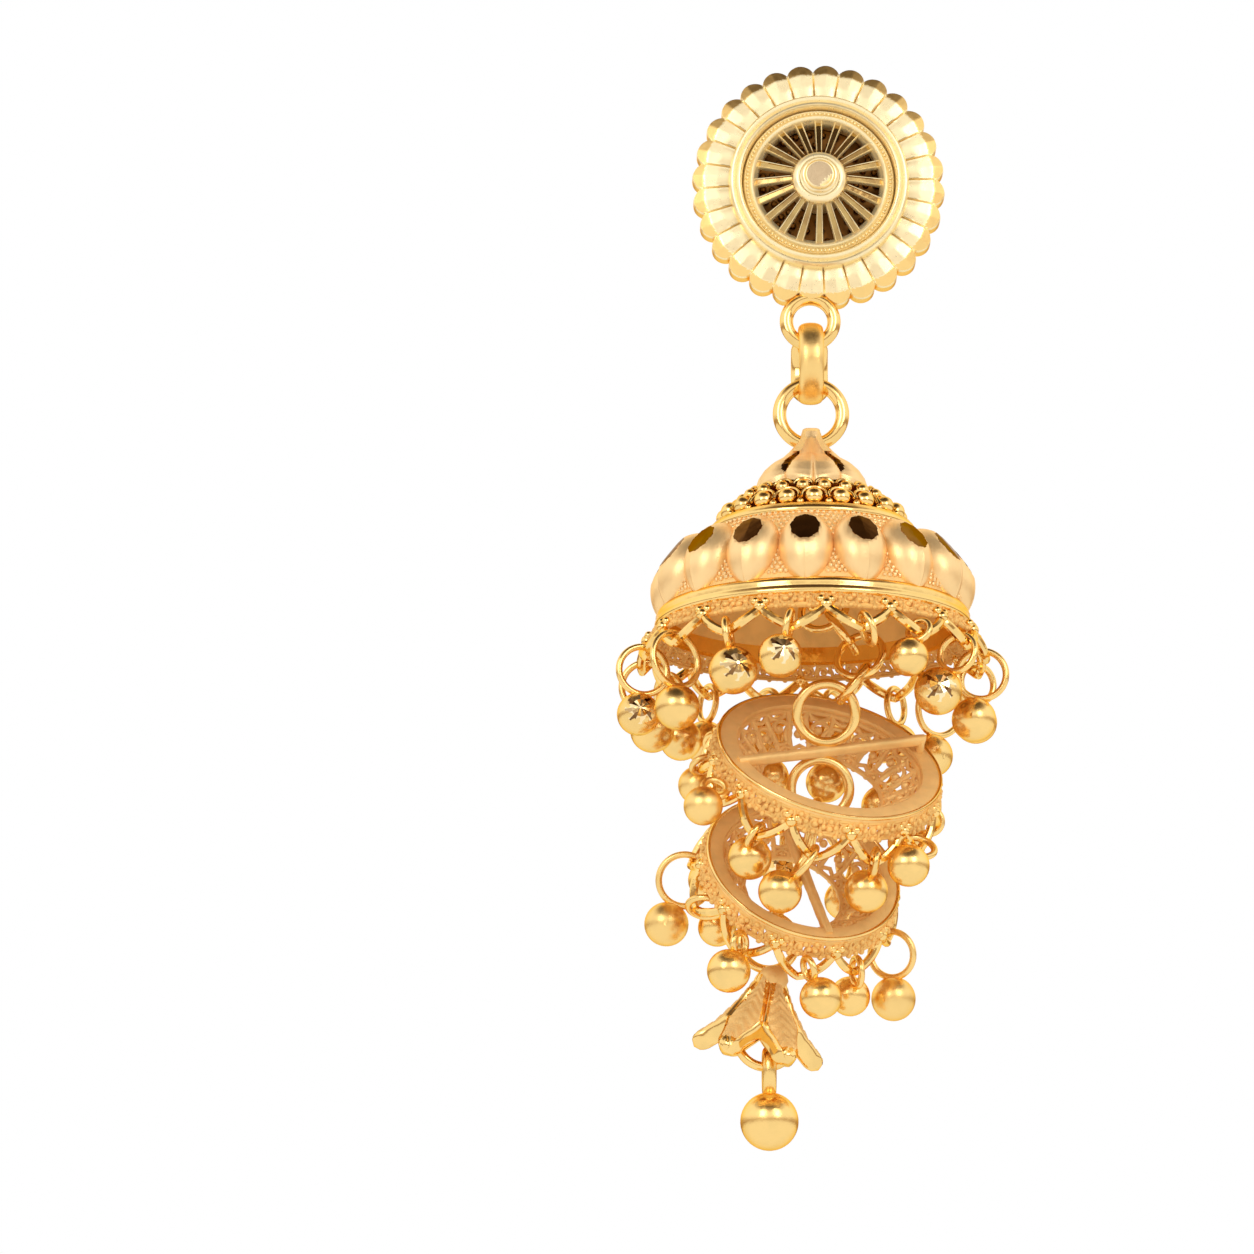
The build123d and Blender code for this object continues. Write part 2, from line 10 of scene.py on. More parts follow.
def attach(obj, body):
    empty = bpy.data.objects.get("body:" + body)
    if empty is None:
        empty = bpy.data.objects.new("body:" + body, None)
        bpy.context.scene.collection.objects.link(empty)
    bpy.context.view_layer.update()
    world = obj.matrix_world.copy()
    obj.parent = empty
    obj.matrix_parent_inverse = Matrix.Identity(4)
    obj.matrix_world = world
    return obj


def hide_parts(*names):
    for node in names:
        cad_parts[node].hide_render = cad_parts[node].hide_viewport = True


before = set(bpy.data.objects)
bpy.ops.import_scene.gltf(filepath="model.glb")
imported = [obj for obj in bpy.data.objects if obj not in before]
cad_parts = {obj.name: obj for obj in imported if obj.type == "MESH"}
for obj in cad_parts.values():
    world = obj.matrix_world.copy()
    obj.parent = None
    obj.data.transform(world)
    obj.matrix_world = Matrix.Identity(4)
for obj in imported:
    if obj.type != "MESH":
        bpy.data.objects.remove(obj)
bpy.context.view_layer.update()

bl_info = {
    "name": "Jhumka earring",
    "version": (1, 0, 0),
    "blender": (4, 5, 0),
    "location": "3D View > Sidebar > Jhumka",
    "description": "Makes the goldwork of a hanging jhumka earring round its packed frame",
    "category": "Object",
}

MM = 0.001
FRONT = -pi / 2

# Places of the hanging pieces, in millimetres, as the frame has them.
CHAIN_X, CHAIN_Y = -0.65, -3.5
STUD_RING_Z, STUD_RING_RADIUS = -9.75, 1.63
LINK_Z, LINK_RADIUS = -12.765, 2.38
BELL_RING_Z, BELL_RING_RADIUS = -16.355, 2.15
STEM_TOP, STEM_END = -19.6, -27.6
STEM_RING_Z, STEM_RING_RADIUS = -28.7, 1.1
HANGER_WIRE, STEM_WIRE, STEM_RING_WIRE = 0.46, 0.45, 0.4

# Local frames: the stud's Z faces the viewer, the bell's runs up its axis.
STUD_PLACE = Matrix(((1, 0, 0, 0), (0, 0, -1, 0), (0, 1, 0, 0), (0, 0, 0, 1)))
BELL_PLACE = Matrix.Translation((CHAIN_X, CHAIN_Y, 0))


# ---- properties


def length(name, description, default):
    """A length property, given in millimetres."""
    return FloatProperty(
        name=name, description=description, default=default * MM, unit="LENGTH", precision=5
    )


def angle(name, description, default):
    """An angle property, given in degrees."""
    return FloatProperty(
        name=name, description=description, default=radians(default), subtype="ANGLE"
    )


def count(name, description, default):
    """A number of things, one at least."""
    return IntProperty(name=name, description=description, default=default, min=1)


def colour(name, description, default):
    """A colour property, in linear red, green and blue."""
    return FloatVectorProperty(
        name=name, description=description, default=default, subtype="COLOR", min=0.0, max=1.0
    )


def share(name, description, default):
    """A property without a unit."""
    return FloatProperty(name=name, description=description, default=default, subtype="FACTOR")


class JHUMKA_PG_stud(PropertyGroup):
    radius: length("Radius", "Stud from its middle to a petal's tip", 8.72)
    petals: count("Petals", "Scalloped petals round the stud", 28)
    petal_radius: length("Petal radius", "Round tip of one petal", 0.955)
    petal_turn: angle("Petal turn", "First petal's turn past the top", 4.1)
    notch: length("Notch", "How far the petals draw back at the hanging ring", 0.42)
    collar_outer: length("Collar outer", "Outer radius of the ridged collar", 6.2)
    collar_inner: length("Collar inner", "Inner radius of the ridged collar", 5.3)
    back: length("Back", "Back of the plate in front of the lobe", 2.5)
    front: length("Front", "Height of the petals", 4.2)
    collar_front: length("Collar front", "Height of the collar", 5.0)
    spokes: count("Spokes", "Spokes of the wheel", 20)
    milgrain: count("Milgrain", "Grains round the wheel's rim", 110)
    hub: length("Hub", "Radius of the wheel's hub", 1.9)
    hub_rise: length("Hub rise", "How far the hub stands in front of the collar", 0.65)
    button: length("Button", "Radius of the middle button", 1.27)


class JHUMKA_PG_bell(PropertyGroup):
    bosses: count("Bosses", "Almond bosses round the bell", 16)
    boss_turn: angle("Boss turn", "Turn of the front boss to the viewer's left", 4.7)
    facet_tilt: angle("Facet tilt", "How far a boss's bright cut faces up", 13.0)
    facet_cut: length("Facet cut", "How deep a boss's bright cut goes", 0.29)
    boss_length: length("Boss length", "Almond from point to point", 6.0)
    boss_width: length("Boss width", "Almond's widest part", 3.72)
    beads: count("Beads", "Beads of the crown's row", 20)
    bead: length("Bead", "Radius of one crown bead", 0.66)
    granule: length("Granule", "Radius of the grains between bosses", 0.16)
    zigzags: count("Zigzags", "Points of the wire zigzag", 16)
    zigzag_turn: angle("Zigzag turn", "Turn of the front point to the viewer's right", 2.5)
    wire: length("Wire", "Radius of the zigzag's wire", 0.29)


class JHUMKA_PG_tiers(PropertyGroup):
    wire: length("Wire", "Radius of the zigzag's wire", 0.27)
    ring_wire: length("Ring wire", "Radius of the soldered rings' wire", 0.34)
    skirt: length("Skirt", "Height of the lace under a disc", 1.35)
    zigzag: length("Zigzag", "Height of the zigzag", 2.0)
    basket: length("Basket", "Reach of the lace inside a disc", 2.2)


class JHUMKA_PG_gold(PropertyGroup):
    polished: colour("Polished", "Bright worked gold", (1.0, 0.68, 0.25))
    satin: colour("Satin", "Frosted gold of the bosses", (1.0, 0.69, 0.33))
    pale: colour("Pale gold", "Frosted gold of the stud", (1.0, 0.84, 0.50))
    sand: colour("Sand", "Sandblasted gold", (1.0, 0.66, 0.26))
    inside: colour("Inside", "Warm unpolished gold of the insides", (0.94, 0.56, 0.18))
    # Painted reflection: the bright-cut facets' dark brown stands in for the dark ceiling they mirror;
    # the rim colour is their paler brown at glancing angles.
    facet: colour("Facet", "Bright-cut facets", (0.30, 0.15, 0.055))
    facet_rim: colour("Facet rim", "Facets seen from the side", (0.60, 0.40, 0.22))
    # Painted shade: dark brown for the floor behind the spokes and the ground between the crown's
    # beads.
    recess: colour("Recess", "Darkened hollows", (0.20, 0.085, 0.02))
    # The button's flat is grained, and its grey-beige tone is a painted reflection.
    button: colour("Button", "Grained top of the button", (0.60, 0.45, 0.27))


class JHUMKA_PG_stage(PropertyGroup):
    floor_drop: length("Floor drop", "Floor below the origin", 170.0)
    distance: length("Distance", "Camera from the bell's plane", 350.0)
    softbox: FloatProperty(name="Softbox", description="Brightness of a softbox", default=3.0)
    fill: share("Fill", "Strength of the room's own light", 1.1)
    ceiling_lean: angle("Ceiling lean", "How far the dark ceiling lies towards the camera", 15)


class Millimetres:
    """Reads a property group: lengths in millimetres, everything else as it is."""

    def __init__(self, group):
        self.group = group

    def __getattr__(self, name):
        value = getattr(self.group, name)
        return value / MM if self.group.bl_rna.properties[name].unit == "LENGTH" else value


# ---- shapes


class Shape:
    """Points and faces of a mesh in the making, in millimetres, with each face's finish."""

    def __init__(self):
        self.points, self.faces, self.finishes = [], [], []

    def face(self, corners, finish):
        """Add one face by its points' numbers."""
        self.faces.append(corners)
        if callable(finish):
            finish = finish([self.points[c] for c in corners])
        self.finishes.append(finish)

    def sheet(self, rows, finish=0, loop=False):
        """Quads between round rows of points; finish is a number or a function of a face's points."""
        start, width = len(self.points), len(rows[0])
        for row in rows:
            self.points.extend(Vector(p) for p in row)
        for r in range(len(rows) if loop else len(rows) - 1):
            here = start + r * width
            there = start + (r + 1) % len(rows) * width
            for c in range(width):
                d = (c + 1) % width
                self.face((here + c, here + d, there + d, there + c), finish)
        return start

    def fan(self, start, width, middle, finish):
        """Close a round row with a fan about a point."""
        self.points.append(middle)
        for c in range(width):
            self.face((start + c, start + (c + 1) % width, len(self.points) - 1), finish)

    def solid(self, rows, finish=0, ends=(0, 0)):
        """A sheet with both of its ends closed."""
        width = len(rows[0])
        first = self.sheet(rows, finish)
        last = first + (len(rows) - 1) * width
        for start, end in zip((first, last), ends):
            ring = self.points[start : start + width]
            self.fan(start, width, sum(ring, Vector()) / width, end)

    def lathe(self, profile, sides, finish=0):
        """Turn a closed (radius, height) outline about Z into a ring."""
        self.sheet([circle(r, z, sides) for r, z in profile], finish, loop=True)

    def tube(self, path, radius, sides, closed=False, finish=0):
        """Carry a round section along a path; radius is a number or one for each point."""
        path = [Vector(p) for p in path]
        radii = radius if isinstance(radius, (list, tuple)) else [radius] * len(path)
        rows = []
        side = None
        for index, point in enumerate(path):
            before = path[index - 1] if closed or index else point
            after = path[(index + 1) % len(path)] if closed or index + 1 < len(path) else point
            along = (after - before).normalized()
            if side is None:
                side = along.orthogonal().normalized()
            side = (side - along * side.dot(along)).normalized()
            other = along.cross(side)
            turns = round_turns(sides)
            rows.append([point + (side * cos(a) + other * sin(a)) * radii[index] for a in turns])
        if closed:
            self.sheet(rows, finish, loop=True)
        else:
            self.solid(rows, finish, (finish, finish))

    def ring(self, centre, axis, radius, wire, sides, steps, finish=0):
        """A round ring of wire about an axis."""
        axis = Vector(axis).normalized()
        across = axis.orthogonal().normalized()
        other = axis.cross(across)
        centre = Vector(centre)
        turns = round_turns(steps)
        path = [centre + (across * cos(a) + other * sin(a)) * radius for a in turns]
        self.tube(path, wire, sides, closed=True, finish=finish)

    def ball(self, centre, radius, sides, rings):
        """A ball with its poles up and down."""
        centre = Vector(centre)
        rows = []
        for k in range(1, rings):
            lift = pi * k / rings
            belt = circle(radius * sin(lift), radius * cos(lift), sides)
            rows.append([centre + Vector(p) for p in belt])
        start = self.sheet(rows)
        for row, z in ((0, radius), (rings - 2, -radius)):
            self.fan(start + row * sides, sides, centre + Vector((0, 0, z)), 0)

    def mesh(self, name, place):
        """The shape as a mesh in metres, its faces turned outward."""
        data = bpy.data.meshes.new(name)
        data.from_pydata([tuple(place @ p * MM) for p in self.points], [], self.faces)
        mark = data.attributes.new("finish", "INT", "FACE")
        mark.data.foreach_set("value", self.finishes)
        work = bmesh.new()
        work.from_mesh(data)
        bmesh.ops.recalc_face_normals(work, faces=work.faces)
        work.to_mesh(data)
        work.free()
        return data


def round_turns(sides, start=0.0):
    """Even turns round a circle."""
    return [start + 2 * pi * k / sides for k in range(sides)]


def polar(turn, radius, height):
    """A point by its turn round Z."""
    return (radius * cos(turn), radius * sin(turn), height)


def circle(radius, height, sides):
    """A level row of points round Z."""
    return [polar(turn, radius, height) for turn in round_turns(sides)]


def middle_of(corners):
    """A face's middle, and how far it is from Z."""
    middle = sum(corners, Vector()) / len(corners)
    return middle, hypot(middle.x, middle.y)


def blend(a, b, t):
    """A value on the way from a to b."""
    return a + (b - a) * t


def ease(t):
    """A smooth step from 0 to 1."""
    t = max(0.0, min(1.0, t))
    return t * t * (3 - 2 * t)


def beside(radius, height, offsets):
    """Part of an outline by its offsets from a radius and a height."""
    return [(radius + r, height + z) for r, z in offsets]


def along_profile(profile, height):
    """The radius of a falling (radius, height) profile at a height."""
    for (r0, z0), (r1, z1) in zip(profile, profile[1:]):
        if z1 <= height <= z0:
            return blend(r0, r1, (z0 - height) / (z0 - z1))
    return profile[-1][0]


# ---- nodes


def feed(tree, node, inputs):
    """Set a node's inputs, each to another node's output or to a plain value."""
    for key, value in inputs.items():
        if isinstance(value, NodeSocket):
            tree.links.new(value, node.inputs[key])
        else:
            node.inputs[key].default_value = value


def grow(tree, kind, inputs=(), **settings):
    """Add a node to a tree, and give its outputs."""
    node = tree.nodes.new(kind)
    for key, value in settings.items():
        setattr(node, key, value)
    feed(tree, node, dict(inputs))
    return node.outputs


# ---- golds

# How far the frosted and the blasted gold reflect as metal does.
SATIN_METAL = 0.72
SAND_METAL = 0.42
ROUGH_DRIFT = 0.3
WAVE_REACH, GRAIN_REACH = 0.08, 0.03

# Each finish: tint and its level, deeper tint and its level, roughness, grain and its size,
# wave and its size, and share of metal.
FINISHES = {
    "polished": ("polished", 1, "polished", 0.82, 0.13, 0, 0.1, 0.3, 1.0, 1),
    "bead": ("polished", 1, "polished", 0.85, 0.24, 0.15, 0.1, 0.35, 1.0, 1),
    # Painted highlight: the star's pale facets stand in for white glints.
    "star": ("pale", 1, "satin", 1, 0.08, 0, 0.1, 0, 1.0, 1),
    "wire": ("polished", 1, "polished", 0.8, 0.09, 0, 0.1, 0.25, 0.5, 1),
    "soft": ("polished", 1, "polished", 0.9, 0.34, 0.2, 0.08, 0.3, 1.2, 1),
    "satin": ("satin", 1, "satin", 0.9, 0.34, 0.3, 0.06, 0.2, 1.2, SATIN_METAL),
    "pale": ("pale", 1, "pale", 0.93, 0.3, 0, 0.1, 0.2, 0.9, SATIN_METAL),
    "sand": ("sand", 1, "sand", 0.85, 0.5, 0.8, 0.1, 0.4, 0.6, SAND_METAL),
    "inside": ("inside", 1, "inside", 0.75, 0.45, 0.5, 0.15, 0.6, 0.9, SAND_METAL),
    # Painted reflection: dark brown for bright-cut facets that mirror the dark ceiling.
    "facet": ("facet", 1, "facet", 0.5, 0.08, 0, 0.1, 0.15, 0.7, 1),
    # Painted shade and reflection: darker gold for the spokes' channel floors, mixed with the dark
    # facet brown.
    "channel": ("polished", 0.6, "facet", 1, 0.14, 0, 0.1, 0.3, 1.0, 1),
    # Painted shade for the hollows.
    "recess": ("recess", 1, "recess", 0.5, 0.35, 0.4, 0.2, 0, 1.0, 1),
    # Grained, with a painted grey-beige reflection.
    "button": ("button", 1, "button", 0.85, 0.4, 0.8, 0.07, 0, 1.0, 1),
}


def gold(finish):
    """Metal with a drifting tint and roughness, a fine grain and a slow hand-made wave."""
    name = finish + "_finish"
    known = bpy.data.materials.get(name)
    if known:
        return known
    main, level, deep, deep_level, rough, grain, grain_size, wave, wave_size, metal = FINISHES[finish]
    tints = bpy.context.scene.jhumka_gold
    tint = tuple(channel * level for channel in getattr(tints, main))
    deeper = tuple(channel * deep_level for channel in getattr(tints, deep))
    # The painted dark facets turn a paler brown at glancing angles.
    rim = tuple(tints.facet_rim) if finish == "facet" else tint
    material = bpy.data.materials.new(name)
    material.use_nodes = True
    tree = material.node_tree
    place = grow(tree, "ShaderNodeTexCoord")["Object"]

    def cloud(size, detail):
        inputs = {"Scale": 1.0 / (size * MM), "Detail": detail, "Vector": place}
        return grow(tree, "ShaderNodeTexNoise", inputs)["Fac"]

    patches = {"Value": cloud(wave_size * 1.7, 3.0), "From Min": 0.4, "From Max": 0.75, "To Max": 0.8}
    spread = grow(tree, "ShaderNodeMapRange", patches)["Result"]
    tones = {"Factor": spread, "A": (*tint, 1), "B": (*deeper, 1)}
    rub = {
        "Value": cloud(grain_size * 4, 4.0),
        "To Min": rough * (1 - ROUGH_DRIFT),
        "To Max": rough * (1 + ROUGH_DRIFT),
    }
    inputs = {
        "Metallic": metal,
        "Specular Tint": (*rim, 1),
        "Base Color": grow(tree, "ShaderNodeMix", tones, data_type="RGBA")["Result"],
        "Roughness": grow(tree, "ShaderNodeMapRange", rub)["Result"],
    }
    for strength, size, reach in ((wave, wave_size, WAVE_REACH), (grain, grain_size, GRAIN_REACH)):
        if strength:
            bump = {"Strength": strength, "Distance": reach * MM, "Height": cloud(size, 2.0)}
            if "Normal" in inputs:
                bump["Normal"] = inputs["Normal"]
            inputs["Normal"] = grow(tree, "ShaderNodeBump", bump)["Normal"]
    feed(tree, tree.nodes["Principled BSDF"], inputs)
    return material


# ---- pieces

SEED = 1
ROUND_INPUTS = {
    "Pattern": "NodeSocketObject",
    "Count": "NodeSocketInt",
    "Start": "NodeSocketFloat",
    "Jitter": "NodeSocketFloat",
    "Seed": "NodeSocketInt",
    "Main finish": "NodeSocketMaterial",
    "Second finish": "NodeSocketMaterial",
}


def add_object(name, data):
    """A new object in the scene's collection."""
    item = bpy.data.objects.new(name, data)
    bpy.context.scene.collection.objects.link(item)
    return item


def dress(item, home, sharp):
    """Smooth a finished piece, sharpen its creases and hang it on its body."""
    body, slot, *nodes = home
    item.data.shade_smooth()
    item.data.set_sharp_from_angle(angle=radians(sharp))
    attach(item, body)
    if nodes:
        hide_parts(*nodes)


def piece(name, shape, finishes, home, place=Matrix(), sharp=35):
    """A shape as a finished object, each face in its own finish."""
    data = shape.mesh(name, place)
    for finish in finishes:
        data.materials.append(gold(finish))
    data.polygons.foreach_set("material_index", shape.finishes)
    data.attributes.remove(data.attributes["finish"])
    dress(add_object(name, data), home, sharp)


def round_tree():
    """Geometry Nodes that repeat a pattern round Z, with a seeded jitter of its turn."""
    known = bpy.data.node_groups.get("round_repeat")
    if known:
        return known
    tree = bpy.data.node_groups.new("round_repeat", "GeometryNodeTree")
    tree.is_modifier = True
    tree.interface.new_socket("Geometry", in_out="OUTPUT", socket_type="NodeSocketGeometry")
    for name, kind in ROUND_INPUTS.items():
        tree.interface.new_socket(name, in_out="INPUT", socket_type=kind)
    given = grow(tree, "NodeGroupInput")

    def sums(operation, *terms):
        return grow(tree, "ShaderNodeMath", enumerate(terms), operation=operation)[0]

    source = grow(tree, "GeometryNodeObjectInfo", {"Object": given["Pattern"]})["Geometry"]
    points = grow(tree, "GeometryNodePoints", {"Count": given["Count"]})[0]
    index = grow(tree, "GeometryNodeInputIndex")[0]
    turn = sums("MULTIPLY_ADD", index, sums("DIVIDE", 2 * pi, given["Count"]), given["Start"])
    back = sums("MULTIPLY", given["Jitter"], -1.0)
    wobble = {2: back, 3: given["Jitter"], "Seed": given["Seed"]}
    total = sums("ADD", turn, grow(tree, "FunctionNodeRandomValue", wobble, data_type="FLOAT")[1])
    spin = grow(tree, "ShaderNodeCombineXYZ", {"Z": total})[0]
    stamp = {"Points": points, "Instance": source, "Rotation": spin}
    stamped = grow(tree, "GeometryNodeInstanceOnPoints", stamp)[0]
    real = grow(tree, "GeometryNodeRealizeInstances", {0: stamped})[0]
    mark = {"Name": "finish"}
    second = grow(tree, "GeometryNodeInputNamedAttribute", mark, data_type="INT")["Attribute"]
    made = {"Geometry": real, "Material": given["Main finish"]}
    main = grow(tree, "GeometryNodeSetMaterial", made)[0]
    made = {"Geometry": main, "Selection": second, "Material": given["Second finish"]}
    grow(tree, "NodeGroupOutput", {0: grow(tree, "GeometryNodeSetMaterial", made)[0]})
    return tree


def round_piece(name, pattern, number, finishes, home, start, place, jitter=0.0, sharp=35):
    """A pattern repeated round its Z axis by Geometry Nodes, then kept as a plain mesh."""
    model = add_object(name + "_pattern", pattern.mesh(name + "_pattern", Matrix()))
    holder = add_object(name, bpy.data.meshes.new(name + "_holder"))
    tree = round_tree()
    work = holder.modifiers.new("repeat", "NODES")
    work.node_group = tree
    values = {
        "Pattern": model,
        "Count": number,
        "Start": start,
        "Jitter": jitter,
        "Seed": SEED,
        "Main finish": gold(finishes[0]),
        "Second finish": gold(finishes[-1]),
    }
    for socket in tree.interface.items_tree:
        if socket.in_out == "INPUT":
            work[socket.identifier] = values[socket.name]
    graph = bpy.context.evaluated_depsgraph_get()
    data = bpy.data.meshes.new_from_object(holder.evaluated_get(graph))
    data.name = name
    holder.modifiers.remove(work)
    holder.data = data
    moved = place.copy()
    moved.translation = place.translation * MM
    data.transform(moved)
    bpy.data.objects.remove(model)
    data.attributes.remove(data.attributes["finish"])
    dress(holder, home, sharp)


# ---- stud

COLLAR_RIDGES = (
    (0.0, -0.42), (-0.07, -0.2), (-0.18, -0.08), (-0.30, -0.1), (-0.40, -0.24), (-0.46, -0.27),
    (-0.53, -0.16), (-0.63, -0.02), (-0.74, 0.0), (-0.84, -0.1), (-0.9, -0.3),
)
RIM_RIDGES = (
    (0.0, -0.55), (-0.1, -0.4), (-0.25, -0.5), (-0.33, -0.42), (-0.42, -0.18), (-0.56, -0.08),
    (-0.7, -0.14), (-0.82, -0.36),
)
HUB_RIDGES = (
    (0.05, -0.75), (0.0, -0.45), (-0.09, -0.2), (-0.22, -0.04), (-0.36, 0.04), (-0.48, 0.05),
    (-0.56, 0.0), (-0.62, 0.04), (-0.8, 0.08),
)
BUTTON_RIDGES = (
    (-0.02, 0.0), (0.0, 0.12), (-0.05, 0.24), (-0.13, 0.31), (-0.2, 0.29), (-0.24, 0.22),
    (-0.28, 0.32), (-0.34, 0.4), (-0.39, 0.41),
)
WHEEL_INNER = 4.2
WHEEL_FLOOR = 0.7
WHEEL_DROP = 0.62
MILGRAIN_RADIUS, MILGRAIN_SIZE = 4.93, 0.1
SPOKE_HALF, SPOKE_EDGE = 0.15, 0.1
# Loose grains on the painted-shade floor, as (ring's radius, number), and the size of each.
FLOOR_GRAINS, FLOOR_GRAIN = ((3.9, 26), (3.2, 20), (2.6, 15)), 0.24
# The painted-shade floor's height over the back, and the glint's place and slope on the button.
FLOOR_RISE, GLINT_START, GLINT_SLOPE = 0.6, 0.52, 0.7
NOTCH_REACH, NOTCH_FADE = 2.4, 1.2
BROW_SLOPE, BROW_START = 0.1, 6.9
TIP_SLOPE, TIP_START = 0.45, 7.72


def petal_edge(turn, size):
    """The stud's scalloped outline: its radius at a turn, and how far off a petal's middle."""
    pitch = 2 * pi / size.petals
    off = (turn - pi / 2 + size.petal_turn + pitch / 2) % pitch - pitch / 2
    middle = size.radius - size.petal_radius
    edge = middle * cos(off) + sqrt(size.petal_radius**2 - (middle * sin(off)) ** 2)
    near = hypot(edge * cos(turn) - CHAIN_X, edge * sin(turn) - STUD_RING_Z)
    return edge - size.notch * ease((NOTCH_REACH - near) / NOTCH_FADE), off


def stud_petals(size):
    """Scalloped border: frosted petals with a ridge at each seam and a bevelled tip."""
    shape = Shape()
    steps = 22
    turns = round_turns(size.petals * steps)
    edges = [petal_edge(turn, size) for turn in turns]
    half = pi / size.petals
    inside = size.collar_inner - 0.4

    def row(place):
        return [polar(turn, *place(*edge)) for turn, edge in zip(turns, edges)]

    def planes(radius, off):
        across = abs(off) * radius
        brow = size.front + 0.05 - BROW_SLOPE * (radius - BROW_START) - 0.07 * across
        tip = size.front + 0.05 - TIP_SLOPE * (radius - TIP_START) - 0.1 * across
        return brow, tip

    def front(part):
        def place(edge, off):
            radius = blend(size.collar_outer - 0.1, edge - 0.05, part)
            seam = abs(off / half)
            height = size.front + 0.04 - 0.09 * seam**2
            groove = ease((seam - 0.8) / 0.1) * (1 - ease((seam - 0.9) / 0.1))
            height += 0.07 * groove * (1 - part * 0.5)
            height -= 0.16 * ease((seam - 0.9) / 0.1)
            return radius, min(height, *planes(radius, off))

        return place

    def finish(corners):
        middle, radius = middle_of(corners)
        off = petal_edge(atan2(middle.y, middle.x), size)[1]
        brow, tip = planes(radius, off)
        side = middle.z < size.front - 0.64
        return 1 if side or (middle.z > tip - 0.02 and tip < brow) else 0

    rows = [
        row(lambda edge, off: (inside, size.back)),
        row(lambda edge, off: (edge - 0.12, size.back)),
        row(lambda edge, off: (edge, size.back + 0.14)),
        row(lambda edge, off: (edge, size.front - 0.72)),
        row(lambda edge, off: (edge - 0.015, size.front - 0.66)),
        *(row(front(1 - step / steps)) for step in range(steps + 1)),
        row(lambda edge, off: (inside, size.front - 0.5)),
    ]
    shape.sheet(rows, finish, loop=True)
    return shape


def stud_collar(size):
    """The raised double-ridged collar round the wheel."""
    inner, outer, top = size.collar_inner, size.collar_outer, size.collar_front
    profile = [
        (inner - 0.3, size.back + 0.05),
        (outer - 0.05, size.back + 0.05),
        (outer + 0.02, size.front - 0.1),
        *beside(outer, top, COLLAR_RIDGES),
        (inner - 0.02, top - 0.9),
        (inner - 0.3, size.back + 0.62),
    ]
    shape = Shape()
    shape.lathe(profile, 144)
    return shape


def stud_recess(size):
    """The floor behind the spokes, with loose grains of granulation, all in painted shade."""
    shape = Shape()
    floor, reach, sides = size.back + FLOOR_RISE, size.collar_inner - 0.1, 72
    shape.solid([circle(reach, floor - 0.55, sides), circle(reach, floor - 0.05, sides)])
    for ring, number in FLOOR_GRAINS:
        for k, turn in enumerate(round_turns(number, ring)):
            spot = polar(turn, ring + 0.12 * sin(7 * k), floor + 0.05)
            shape.ball(spot, FLOOR_GRAIN, 10, 6)
    return shape


def wheel_rim(size):
    """The wheel's round rim, stepped down from the collar."""
    outer, top = size.collar_inner - 0.08, size.collar_front - 0.2
    profile = [
        (WHEEL_INNER, size.back + WHEEL_FLOOR),
        (outer, size.back + WHEEL_FLOOR),
        *beside(outer, top, RIM_RIDGES),
        (WHEEL_INNER + 0.12, top - 0.48),
        (WHEEL_INNER, top - 0.6),
    ]
    shape = Shape()
    shape.lathe(profile, 120)
    return shape


def wheel_spoke(size):
    """One spoke: a bright-cut channel between two thin raised edges, rising to the hub."""
    shape = Shape()
    top = size.collar_front - WHEEL_DROP
    half, edge, steps = SPOKE_HALF, SPOKE_EDGE, 8
    right = (
        (half, -0.1),
        (half + edge * 0.2, 0.02),
        (half + edge * 0.6, 0.05),
        (half + edge, -0.02),
        (half + edge, -0.5),
    )
    section = [(-y, z) for y, z in reversed(right)] + list(right)
    rows = []
    for k in range(steps + 1):
        along = blend(size.hub - 0.25, WHEEL_INNER + 0.2, k / steps)
        spread = blend(0.74, 1.1, k / steps)
        rise = (0.42 + size.hub_rise) * (1 - k / steps)
        rows.append([(along, y * spread, top + z + rise) for y, z in section])

    # The channel's floor takes the darker channel finish: painted shade and painted dark reflection.
    def finish(corners):
        flat = max(abs(p.y) for p in corners) < half * 1.15
        low = min(p.z for p in corners) > top - 0.3
        return 1 if flat and low else 0

    shape.solid(rows, finish)
    return shape


def wheel_hub(size):
    """The hub's rounded disc with the turned seat of the button."""
    shape = Shape()
    profile = [(size.hub + 0.02, size.back + WHEEL_FLOOR)]
    profile += beside(size.hub, size.collar_front + size.hub_rise, HUB_RIDGES)
    shape.solid([circle(r, z, 96) for r, z in profile])
    return shape


def centre_button(size):
    """The button: a polished ring round a grained flat, its grey-beige a painted reflection, with one
    bevelled glint.
    """
    shape = Shape()
    sides = 96
    base = size.collar_front + size.hub_rise + 0.17
    rows = [circle(r, z, sides) for r, z in beside(size.button, base, BUTTON_RIDGES)]
    glint = Vector((0.62, -0.62, 0)).normalized()
    flat_edge, rise = BUTTON_RIDGES[-1]
    reach, face = size.button + flat_edge, base + rise
    for part in (0.93, 0.8, 0.66, 0.52, 0.38, 0.24, 0.1):
        row = []
        for turn in round_turns(sides):
            flat = Vector((cos(turn), sin(turn), 0)) * reach * part
            slope = GLINT_SLOPE * (flat.dot(glint) - GLINT_START)
            row.append((flat.x, flat.y, min(face, face - slope)))
        rows.append(row)

    # The flat takes the grained finish with its painted grey-beige reflection.
    def finish(corners):
        middle, radius = middle_of(corners)
        return 0 if radius > reach - 0.02 or middle.z < face - 0.02 else 1

    shape.solid(rows, finish, (0, 1))
    return shape


